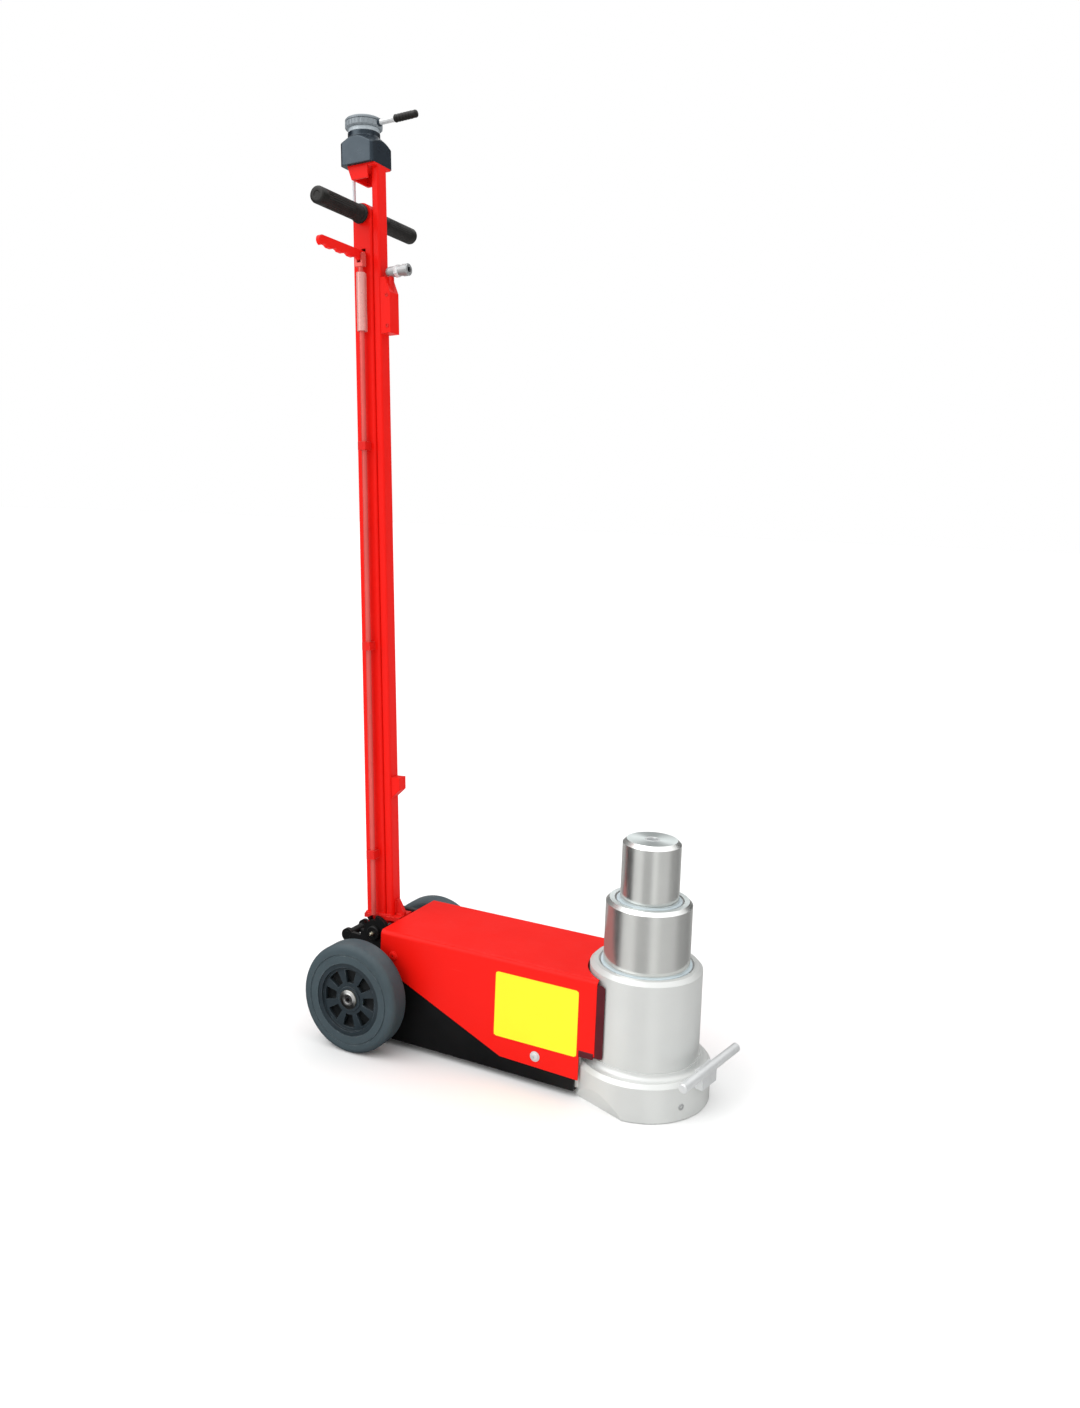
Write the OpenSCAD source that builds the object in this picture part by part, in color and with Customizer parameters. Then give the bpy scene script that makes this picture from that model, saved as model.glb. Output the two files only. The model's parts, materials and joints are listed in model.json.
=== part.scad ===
// Two-stage air hydraulic floor jack: telescopic cylinder at the front, a red pump
// housing behind it, two wheels, and a tilting handle that carries the air control.
// Origin on the floor under the cylinder axis, +X towards the front, +Z up.

/* [Base and cylinder] */
// Radius of the round base casting
base_r = 89.5; // [86:0.5:96]
// Height of the base casting
base_h = 57; // [52:1:62]
// Thickness of the base under the cylinder bore
base_floor = 20; // [14:1:26]
// Radius of the outer cylinder
cylinder_r = 73.6; // [71:0.2:76]
// Height of the outer cylinder's top
cylinder_top = 172; // [168:1:190]
// Wall of the outer cylinder
cylinder_wall = 12; // [9:0.5:13]
// Radius of the first stage ram
ram_one_r = 56.5; // [52:0.5:58]
// Wall of the first stage ram
ram_one_wall = 11; // [9:0.5:13]
// Radius of the second stage ram
ram_two_r = 38.3; // [32:0.1:41]
// Stroke of the first stage
stroke_one = 75; // [60:1:90]
// Stroke of the second stage
stroke_two = 75; // [60:1:78]
// Radius of the socket in the top ram that takes extension pieces
socket_r = 8; // [5:0.5:12]
// Depth of that socket
socket_depth = 12; // [8:1:30]
// Radius of the carrying bar across the front
carry_bar_r = 6; // [5:0.5:7]
// Length of the carrying bar
carry_bar_l = 142; // [120:1:160]

/* [Housing] */
// Distance from the cylinder axis to the housing's rear wall
cover_reach = 366; // [360:1:368]
// Width of the housing
cover_w = 144; // [140:1:150]
// Height of the housing's top
cover_top = 161; // [160:1:166]
// Thickness of the sheet that the housing is folded from
cover_sheet = 2; // [1.5:0.25:2.5]
// Outer radius of the housing's folded edges
cover_fold_r = 6; // [4:0.5:9]
// Thickness of the pan under the housing
pan_sheet = 4; // [3:0.5:4.5]
// Height of the pan's underside above the floor
pan_clear = 9; // [6:0.5:9.5]

/* [Wheels] */
// Radius of the wheels
wheel_r = 75; // [72:0.5:78]
// Width of the tyres
wheel_w = 35; // [28:1:38]
// Radius of the hub's rim inside the tyre
hub_r = 50; // [46:0.5:54]
// Number of windows in each hub
hub_windows = 8; // [6:1:10]
// Radius of the axle
axle_r = 8; // [7:0.5:9]
// Distance from the cylinder axis back to the axle
axle_back = 384.3; // [383:0.5:386]
// Distance from the middle to a tyre's outer face
track_half = 121.8; // [118:0.5:126]

/* [Handle] */
// Lean of the handle back from upright at rest
lean = 3.5; // [2:0.25:5]
// Distance from the cylinder axis back to the handle's pivot
pivot_back = 410; // [409:0.5:412]
// Height of the handle's pivot
pivot_h = 132; // [131:0.5:133]
// Tilt of the handle from rest down to its stop
tilt_travel = 70; // [60:1:72]
// Depth of the rear post, front to back
post_d = 32; // [28:1:34]
// Width of the rear post
post_w = 26; // [24:1:28]
// Depth of the front tube
duct_d = 12; // [10:1:14]
// Width of the front tube
duct_w = 22; // [18:1:24]
// Distance from the pivot up to the crossbar
crossbar_up = 1032; // [1020:1:1045]
// Half length of the crossbar with its grips
crossbar_half = 116; // [105:1:125]
// Radius of the crossbar
crossbar_r = 9; // [8:0.5:10]
// Radius of the grips
grip_r = 12; // [11.5:0.5:13]
// Distance from the pivot up to the control head's underside
head_up = 1100; // [1085:1:1110]

/* [Controls] */
// Width of the control head's square foot
head_w = 52; // [50:1:56]
// Radius of the control knob
knob_r = 25.5; // [24:0.5:27]
// Length of the control lever from the knob's axis
control_l = 90; // [80:1:100]
// Reach of the lock lever from the middle of the handle
lock_lever_l = 118; // [110:1:124]
// Distance from the pivot up to the lock lever's pin
lock_lever_up = 972; // [970:1:975]
// Radius of the lock rod
lock_rod_r = 3.5; // [3:0.25:4]

/* [Hidden] */

$fn = 96;
// Cuts run past the faces that they open by this much
over = 1;
// Radial gap of a running fit, of a seated piece, and of pieces that stay free
run_gap = 0.08;
seat_gap = 0.05;
free_gap = 0.3;

// Base casting
base_bevel = 5;
base_foot_edge = 1.5;
base_fillet = 8;
base_neck = 1.5;
base_flat_share = 0.886;
base_flat_turn = 111;
base_flat_lean = 22;
tongue_back = 150;
tongue_front = 60;
cylinder_bevel = 5;
bore_edge = 1;

// Glands, seals and pistons
gland_h = 22;
gland_sink = 1.4;
gland_gap = 1;
piston_h = 18;
rise_one = 7.7;
rise_two = 3.6;
wiper_share = 0.62;
wiper_h = 5;
wiper_lip = 0.9;
seal_w = 4;
seal_h = 6;
ram_floor = 12;
oil_hole_r = 8;
ram_one_bevel = 4.5;
ram_two_bevel = 5;
gland_two_h = 16;
piston_two_h = 14;

// Carrying bar
carry_turn = -11;
carry_out = 10.5;
carry_up = 5;
carry_edge = 1.5;
carry_block_w = 36;
carry_block_h = 24;

// Housing
cover_front = 38.5;
cover_base_gap = 5;
cover_notch_back = 60;
cover_low_front = 26;
cover_low_back = 173;
cover_low_mid = 29;
cover_low_rear = 112;
cover_cylinder_gap = 2.4;
screw_r = 3;
screw_head_r = 5.5;
screw_head_h = 2.6;
screw_back = 121.5;
screw_up = 42;
screw_rear_share = 0.9028;
screw_rear_up = 128;

// Pan
pan_rear = 436;
pan_front = 66;
pan_wall_mid = 62;
pan_wall_front = 46;
pan_wall_high = 138;
pan_high_front_share = 0.8148;
pan_high_rear_share = 0.9722;
pan_boss_r = 22;

// Power unit inside the housing
motor_z = 66;
motor_r = 44;
motor_wall = 4;
motor_rear_share = 0.75;
motor_front_share = 0.287;
motor_plate = 12;
motor_plate_half = 47;
plate_edge = 6;
pump_w = 80;
pump_top = 90;
plunger_r = 8;
plunger_tip_share = 0.2037;
plunger_bore_share = 0.0463;
piston_rest_gap = 2;
piston_disc = 16;
tank_front_share = 0.023;
tank_half = 60;
tank_head_gap = 8;
tank_corner = 8;
tank_neck_r = 14;
tank_neck_share = 0.1435;
plug_r = 9;
plug_lip = 2;
plug_h = 5;
plug_in = 12;
plug_share = 0.5556;
muffler_r = 12;
muffler_l = 26;
muffler_y = -24;
muffler_edge = 2;
pipe_r = 4;
pipe_back = 132;
pipe_y = 30;
pipe_bend_r = 12;
pipe_drop = 4;
hose_r = 4.5;
hose_y = 34;
hose_bend_r = 10;
hose_hole_gap = 1;

// Wheels and axle
tyre_shoulder = 8;
tyre_groove_r = 1.2;
tyre_groove_share = 0.45;
hub_rim = 6;
hub_in = 1;
hub_web = 9;
hub_back = 2.5;
hub_recess = 5;
hub_boss_r = 17;
hub_boss_in = 1.5;
hub_boss_out = 3;
window_in_r = 22;
window_edge = 4;
window_share = 0.6;
bush_r = 12;
spacer_r = 14;
washer_r = 13;
washer_h = 2;
clip_h = 1.5;
axle_end = 0.8;
axle_edge = 0.6;
centre_hole_r = 3;
centre_hole_depth = 8;

// Handle foot, lugs and stop
pin_r = 7;
pin_head_r = 10.5;
pin_head_h = 5;
pin_end = 12;
bush_wall = 4;
cheek_t = 6;
cheek_out = 16.5;
cheek_r = 15;
foot_low = 18;
foot_high = 24;
foot_front = 38;
foot_rear = 22;
gusset_h = 22;
gusset_foot = 4;
gusset_t = 6;
lug_in = 18;
lug_t = 6;
lug_rim_r = 24;
lug_axle_r = 19;
lug_foot = 26;
lug_arm_shares = [0.92, 0.36, 0.58, 0.8];
notch_gap = 0.8;
notch_low = 18;
notch_step = 35;
stop_r = 6;
stop_along = 42;
stop_boss_r = 9.5;
elbow_r = 10;
elbow_l = 18;
elbow_stub_r = 6.5;

// Handle tubes
post_back = 20;
post_wall = 2;
duct_wall = 1.5;
tube_corner = 3;
catch_up = 196;
catch_h = 30;
catch_slope = 12;
catch_out = 14;
catch_w = 16;
grip_start = 16;
grip_flange = 2;
grip_flange_w = 4;
grip_end = 3;
grip_edge = 2;

// Inlet box and fitting
box_low = 862;
box_high = 941;
box_out = 16;
box_top_out = 8;
box_step = 22;
stem_r = 3.5;
stem_back = 1.5;
stem_sink = 24;
fitting_rise = 8;
fitting_r = 7.5;
fitting_ball_r = 7.5;
fitting_reach = 42;
fitting_ring_r = 8.5;
fitting_ring_w = 9;
inlet_r = 4;
inlet_depth = 18;

// Control head
head_x = -3;
knob_x = -6;
head_d = 55;
head_block = 27;
head_shoulder = 14;
head_neck = 7;
head_corner = 5;
neck_r = 23;
neck_ring_r = 22;
neck_ring_h = 6;
knob_h = 14;
knob_edge = 2.5;
knob_ribs = 24;
knob_rib_r = 1.4;
spindle_r = 6;
spindle_l = 24;
bracket_h = 20;
bracket_w = 40;
bracket_top_back = 22;
bracket_low_back = 15;
bracket_wall = 3;
arm_r = 3.5;
arm_rise = 1;
arm_up_share = 0.42;
arm_in = 12;
control_grip_r = 5.5;
control_grip_l = 43;
control_grip_in = 30;
control_grip_edge = 1.5;
air_tube_r = 2.2;
air_tube_back = 25;
air_tube_up = 996;
air_bend_r = 4;

// Lock linkage
rod_x = -2;
rod_low = 24.8;
rod_tip = 1;
rod_gap = 0.1;
guide_half = 6.5;
guide_h = 12;
guide_shares = [0.1, 0.46, 0.8];
housing_r = 6.4;
housing_bore_r = 5.3;
housing_low = 866;
housing_high = 948;
housing_cap = 4;
housing_pad_w = 8;
rod_collar_r = 5;
rod_collar_h = 4;
rod_collar_up = 884;
lever_t = 6;
lever_eye_r = 7;
lever_tip_r = 7;
lever_pin_r = 3;
lever_head_r = 5;
lever_head_h = 1.5;
fork_wall = 3;
fork_half = 4.5;
fork_gap = 0.4;
fork_drop = 10.5;
fork_base = 5;
fork_pin_r = 2;
fork_pin_gap = 0.4;
fork_slot = 1.5;
scallop_r = 11;
scallop_bite = 2.6;
scallops = 4;
scallop_first = 34;
scallop_end = 12;
slot_below = 11.6;
slot_above = 11.6;
slot_gap = 0.5;

// Places that follow from the sizes above
bay = cover_reach - tongue_back;
motor_limit = axle_back - lug_foot - muffler_l - free_gap;
motor_rear = min(tongue_back + bay * motor_rear_share, motor_limit);
motor_front = tongue_back + bay * motor_front_share;
plunger_tip_back = tongue_back + bay * plunger_tip_share;
plunger_bore_back = tongue_back + bay * plunger_bore_share;
tank_front = tongue_back + bay * tank_front_share;
tank_neck_back = tongue_back + bay * tank_neck_share;
plug_back = tongue_back + bay * plug_share;
screw_rear_back = tongue_back + bay * screw_rear_share;
pan_high_front = tongue_back + bay * pan_high_front_share;
pan_high_rear = tongue_back + bay * pan_high_rear_share;
bore_r = cylinder_r - cylinder_wall;
bore_two_r = ram_one_r - ram_one_wall;
wiper_w = (bore_r - ram_one_r) * wiper_share;
wiper_two_w = (bore_two_r - ram_two_r) * wiper_share;
ram_one_top = cylinder_top + rise_one + stroke_one;
ram_one_low = cylinder_top - gland_sink - gland_h - gland_gap - piston_h;
ram_two_top = ram_one_top + rise_two + stroke_two;
ram_two_low = ram_one_top - gland_sink - gland_two_h - gland_gap - piston_two_h;
neck_fillet = min(base_fillet, base_r - base_bevel - cylinder_r - base_neck - seat_gap);
shoulder_z = base_h - neck_fillet;
carry_z = base_h + carry_up;
carry_x = base_r + carry_out;
cover_half = cover_w / 2;
cover_in = cover_half - cover_sheet;
pan_half = cover_in - free_gap;
pan_in = pan_half - pan_sheet;
pan_floor = pan_clear + pan_sheet;
tongue_half = pan_in - free_gap;
tank_low = motor_z + motor_plate_half;
tank_high = cover_top - cover_sheet - tank_head_gap;
barrel_rear = motor_rear - motor_plate;
barrel_front = motor_front + motor_plate;
barrel_bore_r = motor_r - motor_wall;
hose_front_x = -motor_rear + motor_plate / 2;
hose_z = pivot_h + elbow_r + hose_bend_r;
axle_z = wheel_r;
boss_in_y = track_half - wheel_w + hub_boss_in;
boss_out_y = track_half - hub_boss_out;
lug_out = lug_in + lug_t;
full_lean = lean + tilt_travel;
post_front = post_d - post_back;
post_mid = post_front - post_d / 2;
duct_front = post_front + duct_d;
rod_y = -(lug_in + lug_t / 2);
bush_half = lug_in - free_gap;
stop_out = post_back + free_gap + stop_r;
stop_x = -pivot_back - stop_out * cos(full_lean) - stop_along * sin(full_lean);
stop_z = pivot_h - stop_out * sin(full_lean) + stop_along * cos(full_lean);
head_round = norm([head_d / 2 - head_corner + head_x - knob_x, head_w / 2 - head_corner])
    + head_corner;
neck_top = head_up + head_block + head_shoulder + head_neck;
knob_low = neck_top + neck_ring_h + free_gap;
stem_x = duct_front + box_out - stem_back - stem_r;
fitting_z = box_high + fitting_rise;
fitting_end = duct_front + fitting_reach;
fork_low = lock_lever_up - fork_drop - fork_base;

// A solid revolved about Z with bevels at its top and bottom
module turned(r, h, top, low) {
    rotate_extrude()
        polygon([
            [0, 0],
            if (low > 0) [r - low, 0],
            [r, low],
            [r, h - top],
            if (top > 0) [r - top, h],
            [0, h]
        ]);
}

module ring(r_out, r_in, h) {
    difference() {
        cylinder(r = r_out, h = h);
        translate([0, 0, -over])
            cylinder(r = r_in, h = h + 2 * over);
    }
}

module rounded(w, d, r) {
    square([w, d - 2 * r], center = true);
    square([w - 2 * r, d], center = true);
    for (x = [-1, 1], y = [-1, 1])
        translate([x * (w / 2 - r), y * (d / 2 - r)])
            circle(r);
}

// A tube of rounded rectangular section, w along X and d along Y
module box_tube(w, d, wall, h) {
    linear_extrude(h)
        difference() {
            rounded(w, d, tube_corner);
            rounded(w - 2 * wall, d - 2 * wall, tube_corner / 2);
        }
}

// Draws in the side view: its X stays X and its Y becomes Z
module side_plate(w) {
    rotate([90, 0, 0])
        linear_extrude(w, center = true)
            children();
}

// Points its children's Z forward along X
module forward() {
    rotate([0, 90, 0])
        children();
}

// Points its children's Z out to one side, -1 for the right and 1 for the left
module sideways(side) {
    rotate([-side * 90, 0, 0])
        children();
}

module at_handle() {
    translate([-pivot_back, 0, pivot_h])
        rotate([0, -lean, 0])
            children();
}

module at_wheel(side) {
    translate([-axle_back, side * (track_half - wheel_w / 2), axle_z])
        sideways(side)
            children();
}

// A quarter bend in the side view, from straight up to straight forward
module quarter_bend(bend_r, r) {
    translate([bend_r, 0, 0])
        mirror([1, 0, 0])
            rotate([90, 0, 0])
                rotate_extrude(angle = 90)
                    translate([bend_r, 0])
                        circle(r);
}

// Base and cylinder

module base_flats() {
    for (side = [-1, 1])
        rotate([0, 0, side * base_flat_turn])
            translate([base_r * base_flat_share, 0, 0])
                rotate([0, base_flat_lean, 0])
                    translate([0, -base_r, -base_r])
                        cube([base_r, 2 * base_r, 2 * base_r]);
}

module base_block() {
    neck_r = cylinder_r + base_neck;
    color("gainsboro")
        difference() {
            union() {
                difference() {
                    rotate_extrude()
                        difference() {
                            polygon([
                                [0, 0],
                                [base_r - base_foot_edge, 0],
                                [base_r, base_foot_edge],
                                [base_r, shoulder_z - base_bevel],
                                [base_r - base_bevel, shoulder_z],
                                [neck_r + neck_fillet, shoulder_z],
                                [neck_r + neck_fillet, base_h],
                                [0, base_h]
                            ]);
                            translate([neck_r + neck_fillet, base_h])
                                circle(neck_fillet);
                        }
                    base_flats();
                }
                translate([-tongue_back, -tongue_half, pan_floor])
                    cube([tongue_back - tongue_front, 2 * tongue_half, base_h - pan_floor]);
            }
            translate([0, 0, base_floor])
                cylinder(r = cylinder_r + seat_gap, h = base_h);
        }
}

module carry_bar() {
    color("silver")
        rotate([0, 0, carry_turn])
            translate([carry_x, 0, carry_z])
                difference() {
                    union() {
                        translate([0, carry_bar_l / 2, 0])
                            rotate([90, 0, 0])
                                turned(carry_bar_r, carry_bar_l, carry_edge, carry_edge);
                        translate([-carry_out - base_bevel, -carry_block_w / 2, -carry_block_h])
                            cube([carry_out + base_bevel, carry_block_w, carry_block_h]);
                    }
                    translate([-carry_x, 0, -carry_z])
                        cylinder(r = base_r + seat_gap, h = carry_z + over);
                }
}

module outer_cylinder() {
    color("gainsboro")
        rotate_extrude()
            polygon([
                [bore_r, base_floor],
                [cylinder_r, base_floor],
                [cylinder_r, cylinder_top - cylinder_bevel],
                [cylinder_r - cylinder_bevel, cylinder_top],
                [bore_r + bore_edge, cylinder_top],
                [bore_r, cylinder_top - bore_edge]
            ]);
}

// A gland with a recess for its wiper, its top face at the given height
module gland(r_out, r_in, h, recess_r, top) {
    translate([0, 0, top - h])
        difference() {
            ring(r_out, r_in, h);
            translate([0, 0, h - wiper_h + wiper_lip])
                cylinder(r = recess_r, h = wiper_h);
        }
}

module cylinder_gland() {
    color("dimgray")
        gland(bore_r - seat_gap, ram_one_r + run_gap, gland_h,
            ram_one_r + wiper_w + seat_gap, cylinder_top - gland_sink);
}

module cylinder_wiper() {
    color("black")
        translate([0, 0, cylinder_top - gland_sink - wiper_h + wiper_lip])
            ring(ram_one_r + wiper_w, ram_one_r + run_gap, wiper_h);
}

// A piston's seal groove, cut into its rim
module seal_groove(r, low) {
    translate([0, 0, low])
        ring(r + over, r - seal_w, seal_h);
}

module stage_one_ram() {
    low = ram_one_low + (piston_h - seal_h) / 2;
    color("lightgray")
        difference() {
            union() {
                translate([0, 0, ram_one_low])
                    turned(ram_one_r, ram_one_top - ram_one_low, ram_one_bevel, 0);
                translate([0, 0, ram_one_low])
                    cylinder(r = bore_r - run_gap, h = piston_h);
            }
            translate([0, 0, ram_one_low + ram_floor])
                cylinder(r = bore_two_r, h = ram_one_top);
            cylinder(r = oil_hole_r, h = ram_one_top);
            seal_groove(bore_r - run_gap, low);
        }
}

module stage_one_gland() {
    color("dimgray")
        gland(bore_two_r - seat_gap, ram_two_r + run_gap, gland_two_h,
            ram_two_r + wiper_two_w + seat_gap, ram_one_top - gland_sink);
}

module stage_one_wiper() {
    color("black")
        translate([0, 0, ram_one_top - gland_sink - wiper_h + wiper_lip])
            ring(ram_two_r + wiper_two_w, ram_two_r + run_gap, wiper_h);
}

module stage_one_seal() {
    color("black")
        translate([0, 0, ram_one_low + (piston_h - seal_h) / 2])
            ring(bore_r - run_gap, bore_r - run_gap - seal_w, seal_h);
}

module stage_two_ram() {
    low = ram_two_low + (piston_two_h - seal_h) / 2;
    color("lightgray")
        difference() {
            union() {
                translate([0, 0, ram_two_low])
                    turned(ram_two_r, ram_two_top - ram_two_low, ram_two_bevel, 0);
                translate([0, 0, ram_two_low])
                    cylinder(r = bore_two_r - run_gap, h = piston_two_h);
            }
            translate([0, 0, ram_two_top - socket_depth])
                cylinder(r = socket_r, h = socket_depth + over);
            seal_groove(bore_two_r - run_gap, low);
        }
}

module stage_two_seal() {
    color("black")
        translate([0, 0, ram_two_low + (piston_two_h - seal_h) / 2])
            ring(bore_two_r - run_gap, bore_two_r - run_gap - seal_w, seal_h);
}

// Housing and power unit

module pan_wall_profile() {
    difference() {
        union() {
            polygon([
                [-pan_front, pan_clear],
                [-pan_front, pan_wall_front],
                [-cover_low_back, pan_wall_mid],
                [-pan_high_front, pan_wall_high],
                [-pan_high_rear, pan_wall_high],
                [-axle_back - pan_boss_r, axle_z],
                [-axle_back - pan_boss_r, pan_clear]
            ]);
            translate([-axle_back, axle_z])
                circle(pan_boss_r);
        }
        translate([-axle_back, axle_z])
            circle(axle_r + seat_gap);
        for (p = [[-screw_back, screw_up], [-screw_rear_back, screw_rear_up]])
            translate(p)
                circle(screw_r + seat_gap);
    }
}

module pan() {
    color("#202224")
        difference() {
            union() {
                translate([-pan_rear, -pan_half, pan_clear])
                    cube([pan_rear - pan_front, 2 * pan_half, pan_sheet]);
                for (side = [-1, 1])
                    translate([0, side * (pan_half - pan_sheet / 2), 0])
                        side_plate(pan_sheet)
                            pan_wall_profile();
            }
            cylinder(r = base_r + free_gap, h = cover_top);
        }
}

// The housing's section across X, seen from the front
module fold_profile(half, top, r) {
    translate([-half, 0])
        square([2 * half, top - r]);
    translate([r - half, 0])
        square([2 * (half - r), top]);
    for (side = [-1, 1])
        translate([side * (half - r), top - r])
            circle(r);
}

module cover() {
    notch_top = base_h + cover_base_gap;
    slot_w = cover_in - pan_in + free_gap;
    color("red")
        difference() {
            intersection() {
                difference() {
                    translate([-cover_reach, 0, 0])
                        rotate([90, 0, 90])
                            linear_extrude(cover_reach - cover_front)
                                fold_profile(cover_half, cover_top, cover_fold_r);
                    translate([cover_sheet - cover_reach, 0, -over])
                        rotate([90, 0, 90])
                            linear_extrude(cover_reach)
                                fold_profile(cover_in, cover_top - cover_sheet + over,
                                    cover_fold_r - cover_sheet);
                }
                side_plate(cover_w + 2 * over)
                    polygon([
                        [-cover_reach - over, cover_top + over],
                        [-cover_front + over, cover_top + over],
                        [-cover_front + over, notch_top],
                        [-cover_notch_back, notch_top],
                        [-cover_notch_back, cover_low_front],
                        [-cover_low_back, cover_low_mid],
                        [-cover_reach, cover_low_rear],
                        [-cover_reach - over, cover_low_rear]
                    ]);
            }
            cylinder(r = cylinder_r + cover_cylinder_gap, h = cover_top + over);
            for (p = [[-screw_back, screw_up], [-screw_rear_back, screw_rear_up]])
                translate([p[0], cover_half + over, p[1]])
                    rotate([90, 0, 0])
                        cylinder(r = screw_r + seat_gap, h = cover_w + 2 * over);
            translate([-cover_reach - over, hose_y, hose_z])
                forward()
                    cylinder(r = hose_r + hose_hole_gap, h = cover_sheet + 2 * over);
            // the rear wall is slotted where it comes down over the pan's walls
            for (side = [-1, 1])
                translate([-cover_reach - over, side * cover_in - (side + 1) / 2 * slot_w, 0])
                    cube([cover_sheet + 2 * over, slot_w, pan_wall_high + free_gap]);
        }
}

module cover_screws() {
    color("gray")
        for (side = [-1, 1], p = [[-screw_back, screw_up], [-screw_rear_back, screw_rear_up]])
            translate([p[0], side * pan_in, p[1]])
                sideways(side) {
                    cylinder(r = screw_r, h = cover_half - pan_in);
                    translate([0, 0, cover_half - pan_in])
                        turned(screw_head_r, screw_head_h, screw_head_h / 2, 0);
                }
}

module oil_tank() {
    color("#33373b")
        difference() {
            union() {
                translate([-(barrel_rear + tank_front) / 2, 0, tank_low])
                    linear_extrude(tank_high - tank_low)
                        rounded(barrel_rear - tank_front, 2 * tank_half, tank_corner);
                translate([-tank_neck_back, 0, pump_top])
                    cylinder(r = tank_neck_r, h = tank_low - pump_top + over);
            }
            translate([-plug_back, 0, tank_high - plug_in])
                cylinder(r = plug_r + seat_gap, h = plug_in + over);
        }
}

module tank_plug() {
    color("black")
        translate([-plug_back, 0, tank_high - plug_in]) {
            cylinder(r = plug_r, h = plug_in + over);
            translate([0, 0, plug_in])
                turned(plug_r + plug_lip, plug_h, plug_h / 4, 0);
        }
}

module pump_block() {
    color("darkgray")
        difference() {
            translate([-motor_front, -pump_w / 2, pan_floor])
                cube([motor_front - tongue_back, pump_w, pump_top - pan_floor]);
            translate([-motor_front - over, 0, motor_z])
                forward()
                    cylinder(r = plunger_r + run_gap, h = motor_front - plunger_bore_back + over);
        }
}

// A square end plate of the air motor, its rear face at the given distance back
module motor_end(back) {
    translate([-back, 0, motor_z])
        forward()
            linear_extrude(motor_plate)
                rounded(2 * motor_plate_half, 2 * motor_plate_half, plate_edge);
}

module motor_head() {
    color("silver")
        difference() {
            motor_end(barrel_front);
            translate([-barrel_front - over, 0, motor_z])
                forward()
                    cylinder(r = plunger_r + run_gap, h = motor_plate + 2 * over);
        }
}

module motor_barrel() {
    color("silver")
        translate([-barrel_rear, 0, motor_z])
            forward()
                ring(motor_r, barrel_bore_r, barrel_rear - barrel_front);
}

module motor_cap() {
    color("silver")
        motor_end(motor_rear);
}

module muffler() {
    color("goldenrod")
        translate([-motor_rear, muffler_y, motor_z])
            rotate([0, -90, 0])
                turned(muffler_r, muffler_l, muffler_edge, 0);
}

module air_piston() {
    color("silver")
        translate([-barrel_rear + piston_rest_gap, 0, motor_z])
            forward() {
                cylinder(r = barrel_bore_r - run_gap, h = piston_disc);
                cylinder(r = plunger_r, h = barrel_rear - piston_rest_gap - plunger_tip_back);
            }
}

module pressure_pipe() {
    color("darkgray")
        translate([-pipe_back, pipe_y, base_h]) {
            cylinder(r = pipe_r, h = pipe_drop);
            translate([0, 0, pipe_drop])
                mirror([1, 0, 0])
                    quarter_bend(pipe_bend_r, pipe_r);
            translate([pipe_back - tongue_back, 0, pipe_drop + pipe_bend_r])
                forward()
                    cylinder(r = pipe_r, h = tongue_back - pipe_back - pipe_bend_r);
        }
}

module motor_hose() {
    bend_z = hose_z - hose_bend_r;
    color("black") {
        translate([hose_front_x, hose_y, tank_low])
            cylinder(r = hose_r, h = bend_z - tank_low);
        translate([hose_front_x, hose_y, bend_z])
            mirror([1, 0, 0])
                quarter_bend(hose_bend_r, hose_r);
        translate([hose_bend_r - pivot_back, hose_y, hose_z])
            forward()
                cylinder(r = hose_r, h = hose_front_x + pivot_back - 2 * hose_bend_r);
        translate([-pivot_back, hose_y, bend_z])
            quarter_bend(hose_bend_r, hose_r);
    }
}

module swivel_elbow() {
    color("darkgray")
        difference() {
            union() {
                translate([-pivot_back, lug_out, pivot_h])
                    sideways(1)
                        cylinder(r = elbow_r, h = elbow_l);
                translate([-pivot_back, hose_y, pivot_h])
                    cylinder(r = elbow_stub_r, h = elbow_r);
            }
            translate([-pivot_back, lug_out - over, pivot_h])
                sideways(1)
                    cylinder(r = pin_r + seat_gap, h = pin_end + over);
        }
}

// Lugs, axle and stop

module lug_profile() {
    a = lug_arm_shares;
    polygon([
        [-pivot_back - lug_rim_r, pivot_h],
        [-pan_rear, pan_floor],
        [lug_foot - axle_back, pan_floor],
        [lug_axle_r - axle_back, axle_z],
        [lug_rim_r - pivot_back, pivot_h]
    ]);
    polygon([
        [-pivot_back - lug_rim_r * a[0], pivot_h - lug_rim_r * a[1]],
        [stop_x, stop_z + stop_boss_r * a[2]],
        [stop_x, stop_z - stop_boss_r],
        [-pivot_back - lug_rim_r * a[2], pivot_h - lug_rim_r * a[3] - stop_r]
    ]);
    translate([stop_x, stop_z])
        circle(stop_boss_r);
    translate([-axle_back, axle_z])
        circle(lug_axle_r);
    translate([-pivot_back, pivot_h])
        circle(lug_rim_r);
}

module lug(side) {
    translate([0, side * (lug_in + lug_t / 2), 0])
        side_plate(lug_t)
            difference() {
                lug_profile();
                translate([-pivot_back, pivot_h])
                    circle(pin_r + seat_gap);
                translate([-axle_back, axle_z])
                    circle(axle_r + seat_gap);
                translate([stop_x, stop_z])
                    circle(stop_r + seat_gap);
            }
}

module left_lug() {
    color("#202224")
        lug(1);
}

module right_lug() {
    w = 2 * (lock_rod_r + notch_gap);
    color("#202224")
        difference() {
            lug(-1);
            for (i = [0 : 2])
                translate([-pivot_back, rod_y, pivot_h])
                    rotate([0, -lean - i * notch_step, 0])
                        translate([rod_x - w / 2, -lug_t, notch_low])
                            cube([w, 2 * lug_t, lug_rim_r - notch_low + over]);
        }
}

module tilt_stop() {
    color("#202224")
        translate([stop_x, -lug_out - over, stop_z])
            sideways(1)
                cylinder(r = stop_r, h = 2 * lug_out + 2 * over);
}

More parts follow.
